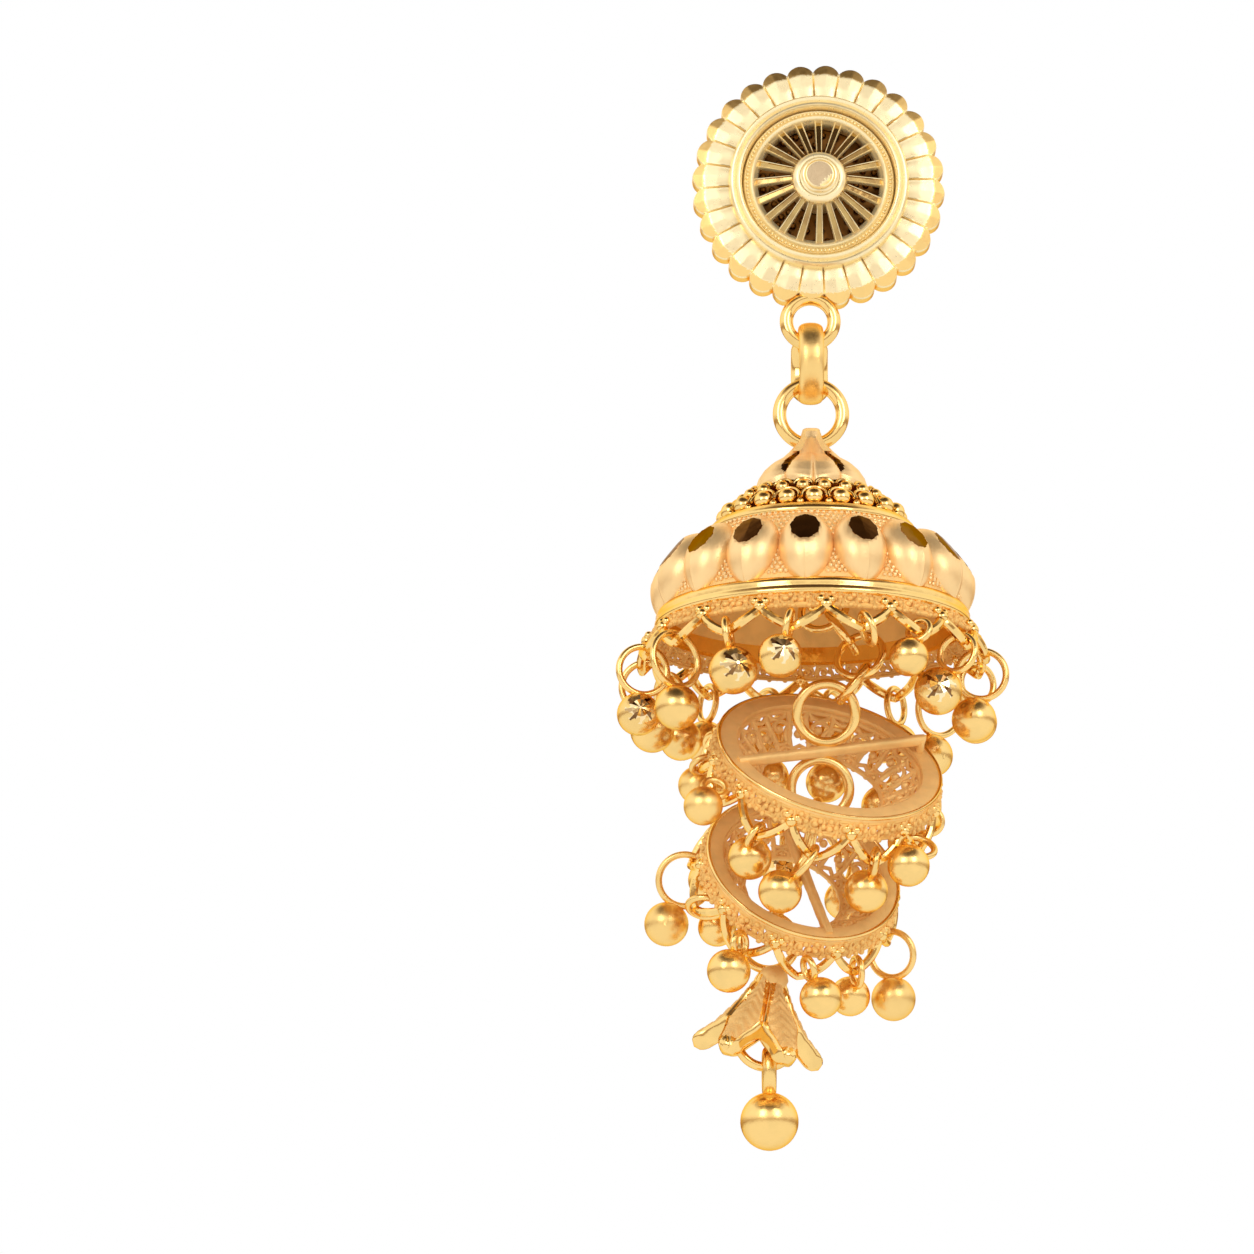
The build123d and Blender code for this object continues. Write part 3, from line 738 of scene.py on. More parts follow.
def stud_ring():
    """The soldered ring under the stud, with the petal's pad over its top."""
    shape = Shape()
    middle = (CHAIN_X, CHAIN_Y, STUD_RING_Z)
    shape.ring(middle, (0, 1, 0), STUD_RING_RADIUS, HANGER_WIRE, 18, 72)
    pad = [(CHAIN_X, CHAIN_Y + y, STUD_RING_Z + z) for y, z in ((0.1, 2.5), (-0.1, 2.0), (-0.05, 1.6))]
    shape.tube(pad, [0.5, 0.5, 0.42], 16)
    return shape


# ---- link


# Half the link's width and thickness, and how they grow behind and in front.
LINK_WIDTH, LINK_LAP = 0.85, 0.42
LINK_THICK, LINK_PUFF, LINK_THIN = 0.44, 0.06, 0.05


def middle_link():
    """The puffed link: a soft barrel in front, its polished lapped ends behind."""
    shape = Shape()
    rows = []
    for turn in round_turns(96):
        lap = ease((sin(turn) - 0.35) / 0.45)
        puff = ease((-sin(turn) - 0.2) / 0.8)
        half_width = LINK_WIDTH + LINK_LAP * lap
        half_thick = LINK_THICK + LINK_PUFF * puff - LINK_THIN * lap
        row = []
        for a in round_turns(24):
            out = LINK_RADIUS + half_thick * sin(a)
            across = half_width * (abs(cos(a)) ** 0.8) * (1 if cos(a) > 0 else -1)
            row.append((CHAIN_X + across, CHAIN_Y + out * sin(turn), LINK_Z + out * cos(turn)))
        rows.append(row)

    def finish(corners):
        return 1 if sum(p.y for p in corners) / len(corners) > CHAIN_Y + 0.6 else 0

    shape.sheet(rows, finish, loop=True)
    return shape


# ---- bell

SHELL_PROFILE = (
    (1.40, -19.9), (3.10, -21.7), (4.40, -22.7), (5.40, -23.6), (6.30, -24.4), (7.00, -25.0),
    (7.95, -25.8), (8.80, -26.9), (9.45, -28.3), (9.90, -29.5), (10.15, -30.4),
)
SHELL_WALL = 0.45
CAP_PROFILE = (
    (0.66, -17.7), (0.80, -18.2), (1.15, -18.7), (1.50, -19.15), (1.90, -19.6), (2.50, -20.0),
    (3.00, -20.4), (3.35, -20.85), (3.52, -21.3), (3.50, -21.65),
)
CAP_LOBES = 5
# An oval on each seam between lobes, painted dark as a bright-cut facet's reflection: its height, half
# width and half height.
CAP_PAINTED_FACET_Z, CAP_PAINTED_FACET_HALF, CAP_PAINTED_FACET_TALL = -20.2, 0.40, 0.9
CAP_SWELL, CAP_PINCH, CAP_CREASE, CAP_DIP = 0.10, 0.07, 0.05, 0.55
CAP_INSIDE = ((3.0, -21.5), (1.2, -20.2))
NECK_SECTIONS = (
    (-17.4, 0.42, 0.34), (-17.5, 0.60, 0.5), (-18.0, 0.72, 0.66), (-18.5, 0.95, 0.95),
    (-18.9, 1.22, 1.25), (-19.3, 1.45, 1.5),
)
CROWN_PROFILE = ((3.2, -21.7), (4.5, -22.7), (6.4, -24.4), (6.2, -24.8), (3.1, -22.2))
UPPER_RIM = (
    (6.2, -24.28), (6.6, -24.24), (6.78, -24.32), (6.86, -24.46), (6.98, -24.54), (7.06, -24.7),
    (7.05, -24.9), (6.95, -25.06), (6.7, -25.14), (6.3, -24.8),
)
LOWER_RIM = (
    (9.8, -30.25), (10.4, -30.3), (10.57, -30.5), (10.63, -30.68), (10.57, -30.84),
    (10.61, -30.98), (10.71, -31.12), (10.71, -31.32), (10.6, -31.48), (10.3, -31.55),
    (9.8, -31.45),
)
BELL_LACE = (10.4, -31.4), (11.05, -32.45)
BELL_PEAK, BELL_VALLEY = (11.1, -32.45), (11.65, -34.0)
BOSS_LEAN = radians(-25)
BOSS_PLACE = Matrix.Translation((8.95, 0, -28.05)) @ Matrix.Rotation(BOSS_LEAN, 4, "Y")
BOSS_CREASE = 0.07
GRAINS_TOP, GRAINS_MIDDLE, GRAINS_END = -25.15, -27.9, -30.05
# The crown's big, middle and small beads as (radius of their row, height, size against the
# big one), and their wire arches as (radius of the row, height, radius of the arch, start).
CROWN_BEADS = ((5.85, -23.72, 1), (4.72, -22.66, 0.72), (6.25, -24.12, 0.4))
CROWN_ARCHES = ((5.92, -23.66, 0.84, -0.3), (4.72, -22.62, 0.66, 0.1))
ARCH_WIRE = 0.10
BELL_LACE_WIRE = 0.12


def bell_shell():
    """The bell's own sheet: sandy outside, smooth warm gold inside."""
    shape = Shape()
    inner = [(r - SHELL_WALL, z - 0.15) for r, z in SHELL_PROFILE]
    inner[-1] = (inner[-1][0], SHELL_PROFILE[-1][1])

    def finish(corners):
        middle, radius = middle_of(corners)
        return 1 if radius < along_profile(SHELL_PROFILE, middle.z) - 0.2 else 0

    rows = [circle(r, z, 144) for r, z in (*SHELL_PROFILE, *reversed(inner))]
    shape.solid(rows, finish, (0, 1))
    return shape


def bell_cap():
    """The flared cap under the neck: creased lobes with dark ovals between, painted reflections of
    bright-cut facets.
    """
    shape = Shape()
    turns = round_turns(200)
    half = pi / CAP_LOBES
    cuts = 4
    fine = []
    for (r0, z0), (r1, z1) in zip(CAP_PROFILE, CAP_PROFILE[1:]):
        fine += [(blend(r0, r1, k / cuts), blend(z0, z1, k / cuts)) for k in range(cuts)]
    fine.append(CAP_PROFILE[-1])

    def from_lobe(turn):
        return abs((turn - FRONT + half) % (2 * half) - half)

    rows = []
    for k, (r, z) in enumerate(fine):
        part = k / (len(fine) - 1)
        row = []
        for turn in turns:
            off = from_lobe(turn) / half
            swell = CAP_SWELL * ease(part * 1.8) * (1 - off**2)
            swell -= CAP_PINCH * ease(part * 2) * off**3
            crease = CAP_CREASE * ease((part - 0.35) / 0.3) * max(0.0, 1 - off / 0.07)
            dip = CAP_DIP * ease((part - 0.5) / 0.5) * (1 - off)
            row.append(polar(turn, r * (1 + swell - crease), z - dip))
        rows.append(row)
    rows += [circle(r, z, len(turns)) for r, z in CAP_INSIDE]

    # Faces inside the oval between lobes take the painted dark reflection.
    def finish(corners):
        middle, radius = middle_of(corners)
        side = (half - from_lobe(atan2(middle.y, middle.x))) * radius
        tall = (middle.z - CAP_PAINTED_FACET_Z) / CAP_PAINTED_FACET_TALL
        return 1 if (side / CAP_PAINTED_FACET_HALF) ** 2 + tall**2 < 1 else 0

    shape.solid(rows, finish)
    return shape


def square_off(turn, power):
    """How far a round outline swells into a square at a turn."""
    return 1 / max(abs(cos(turn)), abs(sin(turn))) ** power


def bell_neck():
    """The sanded tab that holds the bell's ring."""
    shape = Shape()
    rows = []
    for z, wide, deep in NECK_SECTIONS:
        row = []
        for turn in round_turns(32):
            stretch = square_off(turn, 0.6)
            row.append((wide * cos(turn) * stretch, deep * sin(turn) * stretch, z))
        rows.append(row)
    shape.solid(rows)
    return shape


def boss_spindle(size):
    """One almond boss with a bright-cut oval on its face, dark with a painted reflection, and a crease
    below.
    """
    shape = Shape()
    half, swell = size.boss_length / 2, size.boss_width / 2
    bow = (half**2 + swell**2) / (2 * swell)
    normal = Vector((cos(size.facet_tilt), 0, sin(size.facet_tilt)))
    touch = Vector((bow * normal.x - (bow - swell), 0, bow * normal.z))
    depth = normal.dot(touch) - size.facet_cut
    steps, sides = 40, 48
    rows = []
    for k in range(steps + 1):
        z = -half * 0.99 * cos(pi * k / steps)
        r = sqrt(bow**2 - z**2) - (bow - swell)
        row = []
        for turn in round_turns(sides):
            crease = 0.0
            if cos(turn) > 0:
                crease = BOSS_CREASE * ease((-z - 0.3) / 0.6)
                crease *= max(0.0, 1 - abs(sin(turn)) * 8)
            point = Vector(((r + crease) * cos(turn), r * sin(turn), z))
            point -= normal * max(0.0, normal.dot(point) - depth)
            point.x = max(point.x, 0.0)
            row.append(point)
        rows.append(row)
    shape.solid(rows)
    middle = touch - normal * size.facet_cut
    up = Vector((-normal.z, 0, normal.x))
    tall = sqrt(2 * bow * size.facet_cut) * 0.9
    wide = sqrt(2 * (middle.x + 0.2) * size.facet_cut) * 0.98
    oval = []
    for reach, lift, ridge in ((1.0, -0.15, 0), (1.0, 0.012, 0), (0.6, 0.02, 0.05), (0.1, 0.02, 0.05)):
        row = []
        for turn in round_turns(sides):
            ragged = 1 + (0.035 * sin(9 * turn) + 0.02 * sin(23 * turn + 1)) * reach
            y, z = wide * cos(turn) * ragged * reach, tall * sin(turn) * ragged * reach
            roof = ridge * max(0.0, 1 - abs(y) / wide)
            row.append(middle + up * z + Vector((0, y, 0)) + normal * (lift + roof))
        oval.append(row)
    # The oval takes the dark finish, a painted reflection.
    shape.solid(oval, 1, (1, 1))
    shape.points = [BOSS_PLACE @ p for p in shape.points]
    return shape


def boss_grains(size):
    """Granulation on one boss's share of the shell, clear of the boss itself."""
    shape = Shape()
    step = size.granule * 2.3
    half = pi / size.bosses
    z, shift, other_shift = GRAINS_TOP, 0.25, 0.75
    while z > GRAINS_END:
        radius = along_profile(SHELL_PROFILE, z)
        number = int(2 * half * radius / step)
        for k in range(number):
            turn = -half + (k + shift) * 2 * half / number
            across = turn * radius / (size.boss_width / 2)
            tall = (z - GRAINS_MIDDLE) / (size.boss_length / 2 * 0.9)
            if across**2 + tall**2 > 0.84:
                spot = polar(turn, radius + 0.03, z + 0.05 * sin(13 * k + 5 * z))
                shape.ball(spot, size.granule * (1 + 0.15 * sin(5 * k + z)), 7, 5)
        z -= step * 0.84
        shift, other_shift = other_shift, shift
    return shape


def crown_beads(size):
    """One of the crown's big beads under its wire arch, with the smaller beads by it."""
    shape = Shape()
    half = pi / size.beads
    rounds = ((0.0, 20, 14), (half, 16, 10), (half, 10, 7))
    for (out, high, part), (turn, sides, rings) in zip(CROWN_BEADS, rounds):
        shape.ball(polar(turn, out, high), size.bead * part, sides, rings)
    for turn, (out, high, radius, low) in zip((0.0, half), CROWN_ARCHES):
        arch = []
        for k in range(13):
            lift = blend(low, pi - low, k / 12)
            side, rise = radius * cos(lift), radius * sin(lift)
            arch.append(polar(turn + side / out, out - 0.62 * rise + 0.12, high + 0.74 * rise + 0.1))
        shape.tube(arch, ARCH_WIRE, 8)
    return shape


def turned(*profiles, sides=144):
    """Rings turned about Z, as the crown's ground, dark with painted shade, and the bell's polished
    rims are.
    """
    shape = Shape()
    for profile in profiles:
        shape.lathe(profile, sides)
    return shape


def bell_hanger():
    """The ring on top of the bell, and the stem inside with the ring that holds the tiers."""
    shape = Shape()
    middle = (CHAIN_X, CHAIN_Y, BELL_RING_Z)
    shape.ring(middle, (0, 1, 0), BELL_RING_RADIUS, HANGER_WIRE, 18, 72)
    shape.tube([(CHAIN_X, CHAIN_Y, STEM_TOP), (CHAIN_X, CHAIN_Y, STEM_END)], STEM_WIRE, 16)
    middle = (CHAIN_X, CHAIN_Y, STEM_RING_Z)
    shape.ring(middle, (1, 0, 0), STEM_RING_RADIUS, STEM_RING_WIRE, 16, 56)
    return shape


def lace_scroll(inner, outer, pitch, wire):
    """One pitch of openwork: scrolls, wavy bars and grains between two edge wires."""
    shape = Shape()
    (r0, z0), (r1, z1) = inner, outer
    high = hypot(r1 - r0, z1 - z0)
    wide = pitch * (r0 + r1) / 4

    def spot(across, down, lift=0.0):
        return polar(across * pitch / 2, blend(r0, r1, down) + lift, blend(z0, z1, down))

    bends = (0, 0.8, 1.6, 2.4, pi)
    for side, turns, middle in ((-1, 5.6, 0.44), (1, -5.0, 0.56)):
        scroll = []
        for k in range(15):
            roll = turns * k / 14 + 0.8
            radius = blend(0.36, 0.1, k / 14) * high
            across = side * 0.5 + radius * cos(roll) / wide
            scroll.append(spot(across, middle + radius * sin(roll) / high, wire * 0.3))
        shape.tube(scroll, wire, 7)
        shape.ball(spot(side * 0.5, middle, wire * 0.6), wire * 1.9, 9, 6)
        shape.tube([spot(side * (0.5 + 0.5 * cos(t)), 1.0 - 0.2 * sin(t)) for t in bends], wire, 7)
        shape.tube([spot(side * (0.5 + 0.48 * cos(t)), 0.22 * sin(t)) for t in bends], wire, 7)
    for base, sway in ((0.0, 0.09), (0.97, -0.09)):
        bar = [spot(base + sway * sin(k * 1.3), k / 5, wire * 0.4) for k in range(6)]
        shape.tube(bar, wire * 1.15, 7)
    for down in (0.03, 0.97):
        shape.tube([spot(-1, down), spot(0, down), spot(1, down)], wire * 1.2, 7)
    grains = ((0, 1.0), (0.98, 1.0), (0.08, 0.5), (0.9, 0.42), (-0.5, 0.92), (0.5, 0.1), (-0.2, 0.2))
    for across, down in grains:
        shape.ball(spot(across, down, wire * 0.9), wire * 1.6, 9, 6)
    return shape


def zigzag_unit(wire, pitch, peak, valley):
    """One point of a zigzag: from a peak down to the valley and up, grains on the peak."""
    shape = Shape()
    (rp, zp), (rv, zv) = peak, valley
    path, radii = [], []
    steps = 24
    for k in range(steps + 1):
        w = -1 + 2 * k / steps
        rise = abs(w) ** 1.12
        bulge = sin(pi * abs(w))
        sway = 0.12 * bulge * (1 if w > 0 else -1)
        turn = (w + sway * 0.6) * pitch / 2
        path.append(polar(turn, blend(rv, rp, rise) + 0.16 * bulge, blend(zv, zp, rise)))
        radii.append(wire * (1.0 + 0.12 * bulge))
    shape.tube(path, radii, 10)
    shape.ball(polar(pitch / 2, rp + 0.08, zp + 0.05), wire * 1.55, 14, 10)
    for beside_peak, lift, swell in ((-0.35, 0.42, 1.1), (0.33, 0.38, 1.05)):
        grain = polar(pitch / 2 + beside_peak / rp, rp + 0.02, zp + lift)
        shape.ball(grain, wire * swell, 10, 7)
    return shape


# ---- tiers

TIERS = {
    "two": {
        "centre": (0.37, -5.5, -40.55),
        "turn": 14.5,
        "open": 0.472,
        "radii": (6.37, 7.7),
        "zigzags": 12,
        "peak_turn": 102.2,
        "bar_turn": -32.0,
        "bar_lift": 1.1,
        "ring_shift": -0.4,
    },
    "three": {
        "centre": (-1.33, -1.8, -47.46),
        "turn": 20.2,
        "open": 0.62,
        "radii": (5.64, 6.74),
        "zigzags": 10,
        "peak_turn": 92.0,
        "bar_turn": 61.6,
        "bar_lift": 0.0,
        "ring_shift": 0.0,
    },
}
TIER_PLATE = 0.45
TIER_FLARE = 0.35
BAR_WIDTH, BAR_DEPTH = 0.6, 0.8
BAR_FOOT = 0.3
TIER_RING_RADIUS = 1.95
TIER_LACE_WIRE, BASKET_WIRE = 0.13, 0.16
LOWER_HANG = Vector((-0.16, 0.2317, -0.96)).normalized()
THREE_HANG = Vector((-0.5, 0.36, -0.79)).normalized()
SLANT_GAP = 0.14
SIGHT_RISE = radians(13.4)
SIGHT_UP = Vector((0, -sin(SIGHT_RISE), cos(SIGHT_RISE)))
SIGHT = Vector((0, cos(SIGHT_RISE), sin(SIGHT_RISE)))
X_AXIS = Vector((1, 0, 0))


def tier_place(tier):
    """The frame of a leaning tier: X along its widest line, Z up its axis."""
    turn = radians(tier["turn"])
    across = X_AXIS * cos(turn) - SIGHT_UP * sin(turn)
    below = -X_AXIS * sin(turn) - SIGHT_UP * cos(turn)
    down = below * tier["open"] - SIGHT * sqrt(1 - tier["open"] ** 2)
    axis = down.cross(across).normalized()
    place = Matrix((across, -down, axis)).transposed().to_4x4()
    place.translation = Vector(tier["centre"])
    return place


def bar_ends(tier):
    """The ends of a tier's bar and the point its rings are soldered at."""
    place = tier_place(tier)
    reach = sum(tier["radii"]) / 2
    turn = -radians(tier["bar_turn"])
    height = -BAR_DEPTH / 4
    start = place @ Vector(polar(turn, -reach, height))
    end = place @ Vector(polar(turn, reach, height + tier["bar_lift"]))
    along = (end - start).normalized()
    return start, end, (start + end) / 2 + along * tier["ring_shift"]


def tier_rings(name, wire):
    """A tier's two soldered rings: the one that it hangs from, and the one below."""
    seat = BAR_DEPTH / 2 + wire * 0.6
    reach = seat + TIER_RING_RADIUS
    two, three = bar_ends(TIERS["two"])[2], bar_ends(TIERS["three"])[2]
    if name == "two":
        upper = two + SIGHT_UP * reach, SIGHT, TIER_RING_RADIUS
        lower = two + LOWER_HANG * reach, LOWER_HANG.cross(X_AXIS), TIER_RING_RADIUS
    else:
        hold = two + LOWER_HANG * (reach + TIER_RING_RADIUS - 2 * wire - SLANT_GAP)
        pull = (hold - three).normalized()
        span = (hold - three).length - seat
        upper = three + pull * (seat + span / 2), pull.cross(SIGHT), span / 2
        lower = three + THREE_HANG * reach, THREE_HANG.cross(Vector((0, 1, 0))), TIER_RING_RADIUS
    shape = Shape()
    for centre, axis, radius in (upper, lower):
        shape.ring(centre, axis, radius, wire, 16, 64)
    return shape


def tier_disc(tier):
    """The flat ring of a tier: sanded top, polished outer lip."""
    inner, outer = tier["radii"]
    inside = ((0, -TIER_PLATE + 0.08), (-0.03, -0.2), (0.02, -0.04), (0.12, 0.0))
    outside = (
        (-0.28, -0.02), (-0.2, -0.03), (-0.14, 0.05), (-0.03, 0.06), (0.05, -0.02),
        (0.04, -0.14), (-0.04, -0.2), (-0.04, -TIER_PLATE + 0.05), (-0.12, -TIER_PLATE),
    )
    profile = beside(inner, 0, inside) + beside(outer, 0, outside) + [(inner + 0.1, -TIER_PLATE)]

    def finish(corners):
        middle, radius = middle_of(corners)
        return 1 if radius > outer - 0.2 and middle.z > -0.2 else 0

    shape = Shape()
    shape.lathe(profile, 144, finish)
    return shape


def tier_bar(tier):
    """The sanded bar across a tier, with the solder that holds its rings."""
    shape = Shape()
    start, end, middle = bar_ends(tier)
    axis = tier_place(tier).col[2].to_3d()
    along = (end - start).normalized()
    side = along.cross(axis).normalized()
    rows = []
    steps = 24
    for k in range(steps + 1):
        point = start.lerp(end, k / steps)
        near = max(0.0, 1 - (point - middle).length / 1.1)
        wide = BAR_WIDTH / 2 + 0.10 * near + 0.02 * sin(2.3 * k)
        deep = BAR_DEPTH / 2 + 0.05 * near + 0.02 * sin(1.7 * k + 1)
        row = []
        for turn in round_turns(20):
            flat = square_off(turn, 0.7) * 0.9
            row.append(point + side * wide * cos(turn) * flat + axis * deep * sin(turn) * flat)
        rows.append(row)
    shape.solid(rows)
    if tier["bar_lift"]:
        shape.tube([end - along * BAR_FOOT, end - axis * tier["bar_lift"]], BAR_FOOT, 12)
    return shape


# ---- flower

FLOWER = Vector((-3.4, -0.7275, -54.15))
FLOWER_TILT, FLOWER_NOD = radians(11), radians(8)
PETALS = 6
PETAL_PROFILE = ((0.75, 0.0), (1.05, -1.15), (1.80, -2.5), (3.10, -4.25), (4.70, -5.73))
LEAF_OUT, LEAF_UP = 0.74, 0.67
LEAF_THIN, LEAF_THICK = 0.36, 1.25
LEAF_WIDE, LEAF_NARROW = 1.62, 0.85
LEAF_VEIN, LEAF_RIM, LEAF_PANEL = 0.07, 0.17, 0.2
FLOWER_DOME = ((0.15, 0.16), (0.5, 0.12), (0.78, -0.04), (0.95, -0.4), (1.02, -0.9), (0.7, -1.6))
FLOWER_WIRE, PEG_WIRE, END_RING_APART = 0.3, 0.4, 0.13
LOOP_X, LOOP_TOP = -3.7017, -50.5562
PEG_X, PEG_Z = -3.9, -56.96
END_RING_Z, END_RING_RADIUS = -58.88, 1.95


def flower_place():
    """The leaning frame of the flower's leaves."""
    tilt = Matrix.Rotation(FLOWER_TILT, 4, "Y") @ Matrix.Rotation(FLOWER_NOD, 4, "X")
    return Matrix.Translation(FLOWER) @ tilt


def petal(part):
    """A petal's middle line: radius and height at a share of its length."""
    place = part * (len(PETAL_PROFILE) - 1)
    index = min(int(place), len(PETAL_PROFILE) - 2)
    (r0, z0), (r1, z1) = PETAL_PROFILE[index : index + 2]
    return blend(r0, r1, place - index), blend(z0, z1, place - index)


def flower_petal():
    """One leaf of the flower: a veined panel inside a thick polished edge, rounded at its tip."""
    shape = Shape()
    steps, half_steps = 48, 12
    columns = [sin(pi / 2 * j / half_steps) for j in range(-half_steps, half_steps + 1)]
    loops = []
    for k in range(steps + 1):
        part = k / steps
        radius, height = petal(part)
        tip = max(0.0, (part - 0.9) / 0.1)
        rounding = sqrt(max(0.0, 1 - tip**2)) * 0.97 + 0.03
        wide = blend(LEAF_WIDE, LEAF_NARROW, ease((part - 0.62) / 0.3))
        wide = min(pi * radius / PETALS * 1.05, wide) * rounding
        thick = blend(LEAF_THIN, LEAF_THICK, ease((part - 0.4) / 0.4))
        grown = ease((part - 0.15) / 0.25)
        top, low = [], []
        for across in columns:
            edge = abs(across)
            y = wide * across
            rim = LEAF_RIM * max(0.0, 1 - ((edge - 0.84) / 0.15) ** 2) * grown
            panel = LEAF_PANEL * (1 - edge**2) * ease(part * 3) * (1 - 0.6 * grown)
            vein = LEAF_VEIN * sin(75 * part - 12 * edge) * grown if edge < 0.66 else 0.0
            fall = 1 - sqrt(max(0.0, 1 - edge**6))
            bend = sqrt(max(0.01, radius**2 - y**2)) if part < 0.35 else radius - 0.17 * y**2
            face = panel + rim + vein - thick * 0.5 * fall
            back = -thick * (1 - 0.5 * fall)
            for side, level in ((top, face), (low, back)):
                lift = (level + thick / 2) * rounding - thick / 2
                side.append((max(0.05, bend + lift * LEAF_OUT), y, height + lift * LEAF_UP))
        loops.append(top + low[::-1])
    shape.solid(loops, 0, (0, 1))
    for number in range(steps * len(loops[0])):
        row, column = divmod(number, len(loops[0]))
        edge = abs(columns[column]) if column < len(columns) else 1.0
        panel = blend(0.3, 0.74, ease((row / steps - 0.12) / 0.45))
        shape.finishes[number] = 1 if edge > panel or row > 0.88 * steps else 0
    return shape


def flower_core():
    """The flower's domed top, its loop above and its ring and peg below."""
    shape = Shape()
    shape.solid([[FLOWER + Vector(p) for p in circle(r, z, 36)] for r, z in FLOWER_DOME])
    radius = (LOOP_TOP - FLOWER.z + 0.1) / 2
    loop = (LOOP_X, FLOWER.y, LOOP_TOP - radius)
    shape.ring(loop, (0, 1, 0), radius, FLOWER_WIRE, 14, 56, 1)
    for side in (-1, 1):
        middle = (PEG_X, FLOWER.y + side * END_RING_APART, END_RING_Z)
        shape.ring(middle, (0, 1, 0), END_RING_RADIUS, FLOWER_WIRE, 14, 72, 1)
    shape.tube([FLOWER - Vector((0, 0, 0.5)), (PEG_X, FLOWER.y, PEG_Z)], PEG_WIRE, 14)
    return shape


# ---- drops

# Drops with a soft face, and drops with a bright-cut star as (node, ball radius, way
# that the star faces).
SOFT_DROPS = ("tier_two_drop_02", "tier_two_drop_03", "tier_three_drop_03", "tier_three_drop_08")
STAR_CUTS = (
    ("bell_drop_01", 1.45, (0.15, -1, 0.2)),
    ("bell_drop_02", 1.6, (0.2, -1, 0.1)),
    ("bell_drop_04", 1.45, (0.1, -1, 0.1)),
    ("bell_drop_14", 1.6, (0.0, -1, 0.1)),
    ("tier_three_drop_05", 1.45, (0.0, -1, 0.25)),
)
# A star's rows: degrees from its middle, and how deep its valleys and its points lie.
STAR_ROWS = ((50, 0.2, 0.2), (45, 0.02, -0.03), (24, -0.06, -0.02), (4, -0.01, -0.01))


def star_cut(node, radius, way):
    """A star of bright cuts on a hanging ball, found from the ball's lowest point, in painted
    highlights and painted dark reflections.
    """
    points = [v.co / MM for v in node.data.vertices]
    lowest = min(point.z for point in points)
    belt = [point for point in points if point.z < lowest + radius * 1.05]
    centre = Vector((0, 0, lowest + radius))
    for axis in (0, 1):
        side = [point[axis] for point in belt]
        centre[axis] = (min(side) + max(side)) / 2
    across = way.orthogonal().normalized()
    other = way.cross(across)
    shape = Shape()
    sides = 16
    rows = []
    for spread, deep, high in STAR_ROWS:
        row = []
        for number, turn in enumerate(round_turns(sides)):
            reach = radius - deep if number % 2 else radius - high
            spot = (across * cos(turn) + other * sin(turn)) * sin(radians(spread))
            row.append(centre + (spot + way * cos(radians(spread))) * reach)
        rows.append(row)

    # Every fourth wedge is painted dark as a reflection; the rest are pale as painted highlights.
    def finish(corners):
        aim = sum(corners, Vector()) / len(corners) - centre
        wedge = int((atan2(aim.dot(other), aim.dot(across)) / pi + 1) * sides / 2)
        return 1 if wedge % 4 == 0 else 0

    shape.solid(rows, finish)
    return shape


# ---- operators


class JHUMKA_OT_stud(Operator):
    """Make the scalloped stud with its collar, recess and ring"""

    bl_idname = "jhumka.stud"
    bl_label = "Stud"

    def execute(self, context):
        size = Millimetres(context.scene.jhumka_stud)
        home = ("stud", "satin_gold", "stud_rosette")
        piece("stud_petals", stud_petals(size), ("pale", "soft"), home, STUD_PLACE, 18)
        piece("stud_collar", stud_collar(size), ("pale",), home, STUD_PLACE, 50)
        piece("stud_recess", stud_recess(size), ("recess",), home, STUD_PLACE)
        piece("stud_ring", stud_ring(), ("polished",), home)
        return {"FINISHED"}


class JHUMKA_OT_wheel(Operator):
    """Make the spoked wheel with its hub and the button at its middle"""

    bl_idname = "jhumka.wheel"
    bl_label = "Wheel"

    def execute(self, context):
        size = Millimetres(context.scene.jhumka_stud)
        home = ("stud", "wheel_gold", "spoke_wheel")
        piece("wheel_rim", wheel_rim(size), ("pale",), home, STUD_PLACE, 50)
        piece("wheel_hub", wheel_hub(size), ("pale",), home, STUD_PLACE, 50)
        spoke = wheel_spoke(size)
        gilt = ("pale", "channel")
        round_piece("wheel_spokes", spoke, size.spokes, gilt, home, pi / 2, STUD_PLACE)
        bead = Shape()
        bead.ball((MILGRAIN_RADIUS, 0, size.collar_front - WHEEL_DROP), MILGRAIN_SIZE, 8, 6)
        round_piece("wheel_milgrain", bead, size.milgrain, ("pale",), home, 0.0, STUD_PLACE, 0.006)
        home = ("stud", "button_gold", "centre_button")
        piece("button_top", centre_button(size), ("pale", "button"), home, STUD_PLACE, 30)
        return {"FINISHED"}


class JHUMKA_OT_link(Operator):
    """Make the puffed link between the stud and the bell"""

    bl_idname = "jhumka.link"
    bl_label = "Link"

    def execute(self, context):
        home = ("link", "satin_gold", "middle_link")
        piece("puffed_link", middle_link(), ("soft", "polished"), home, sharp=60)
        return {"FINISHED"}


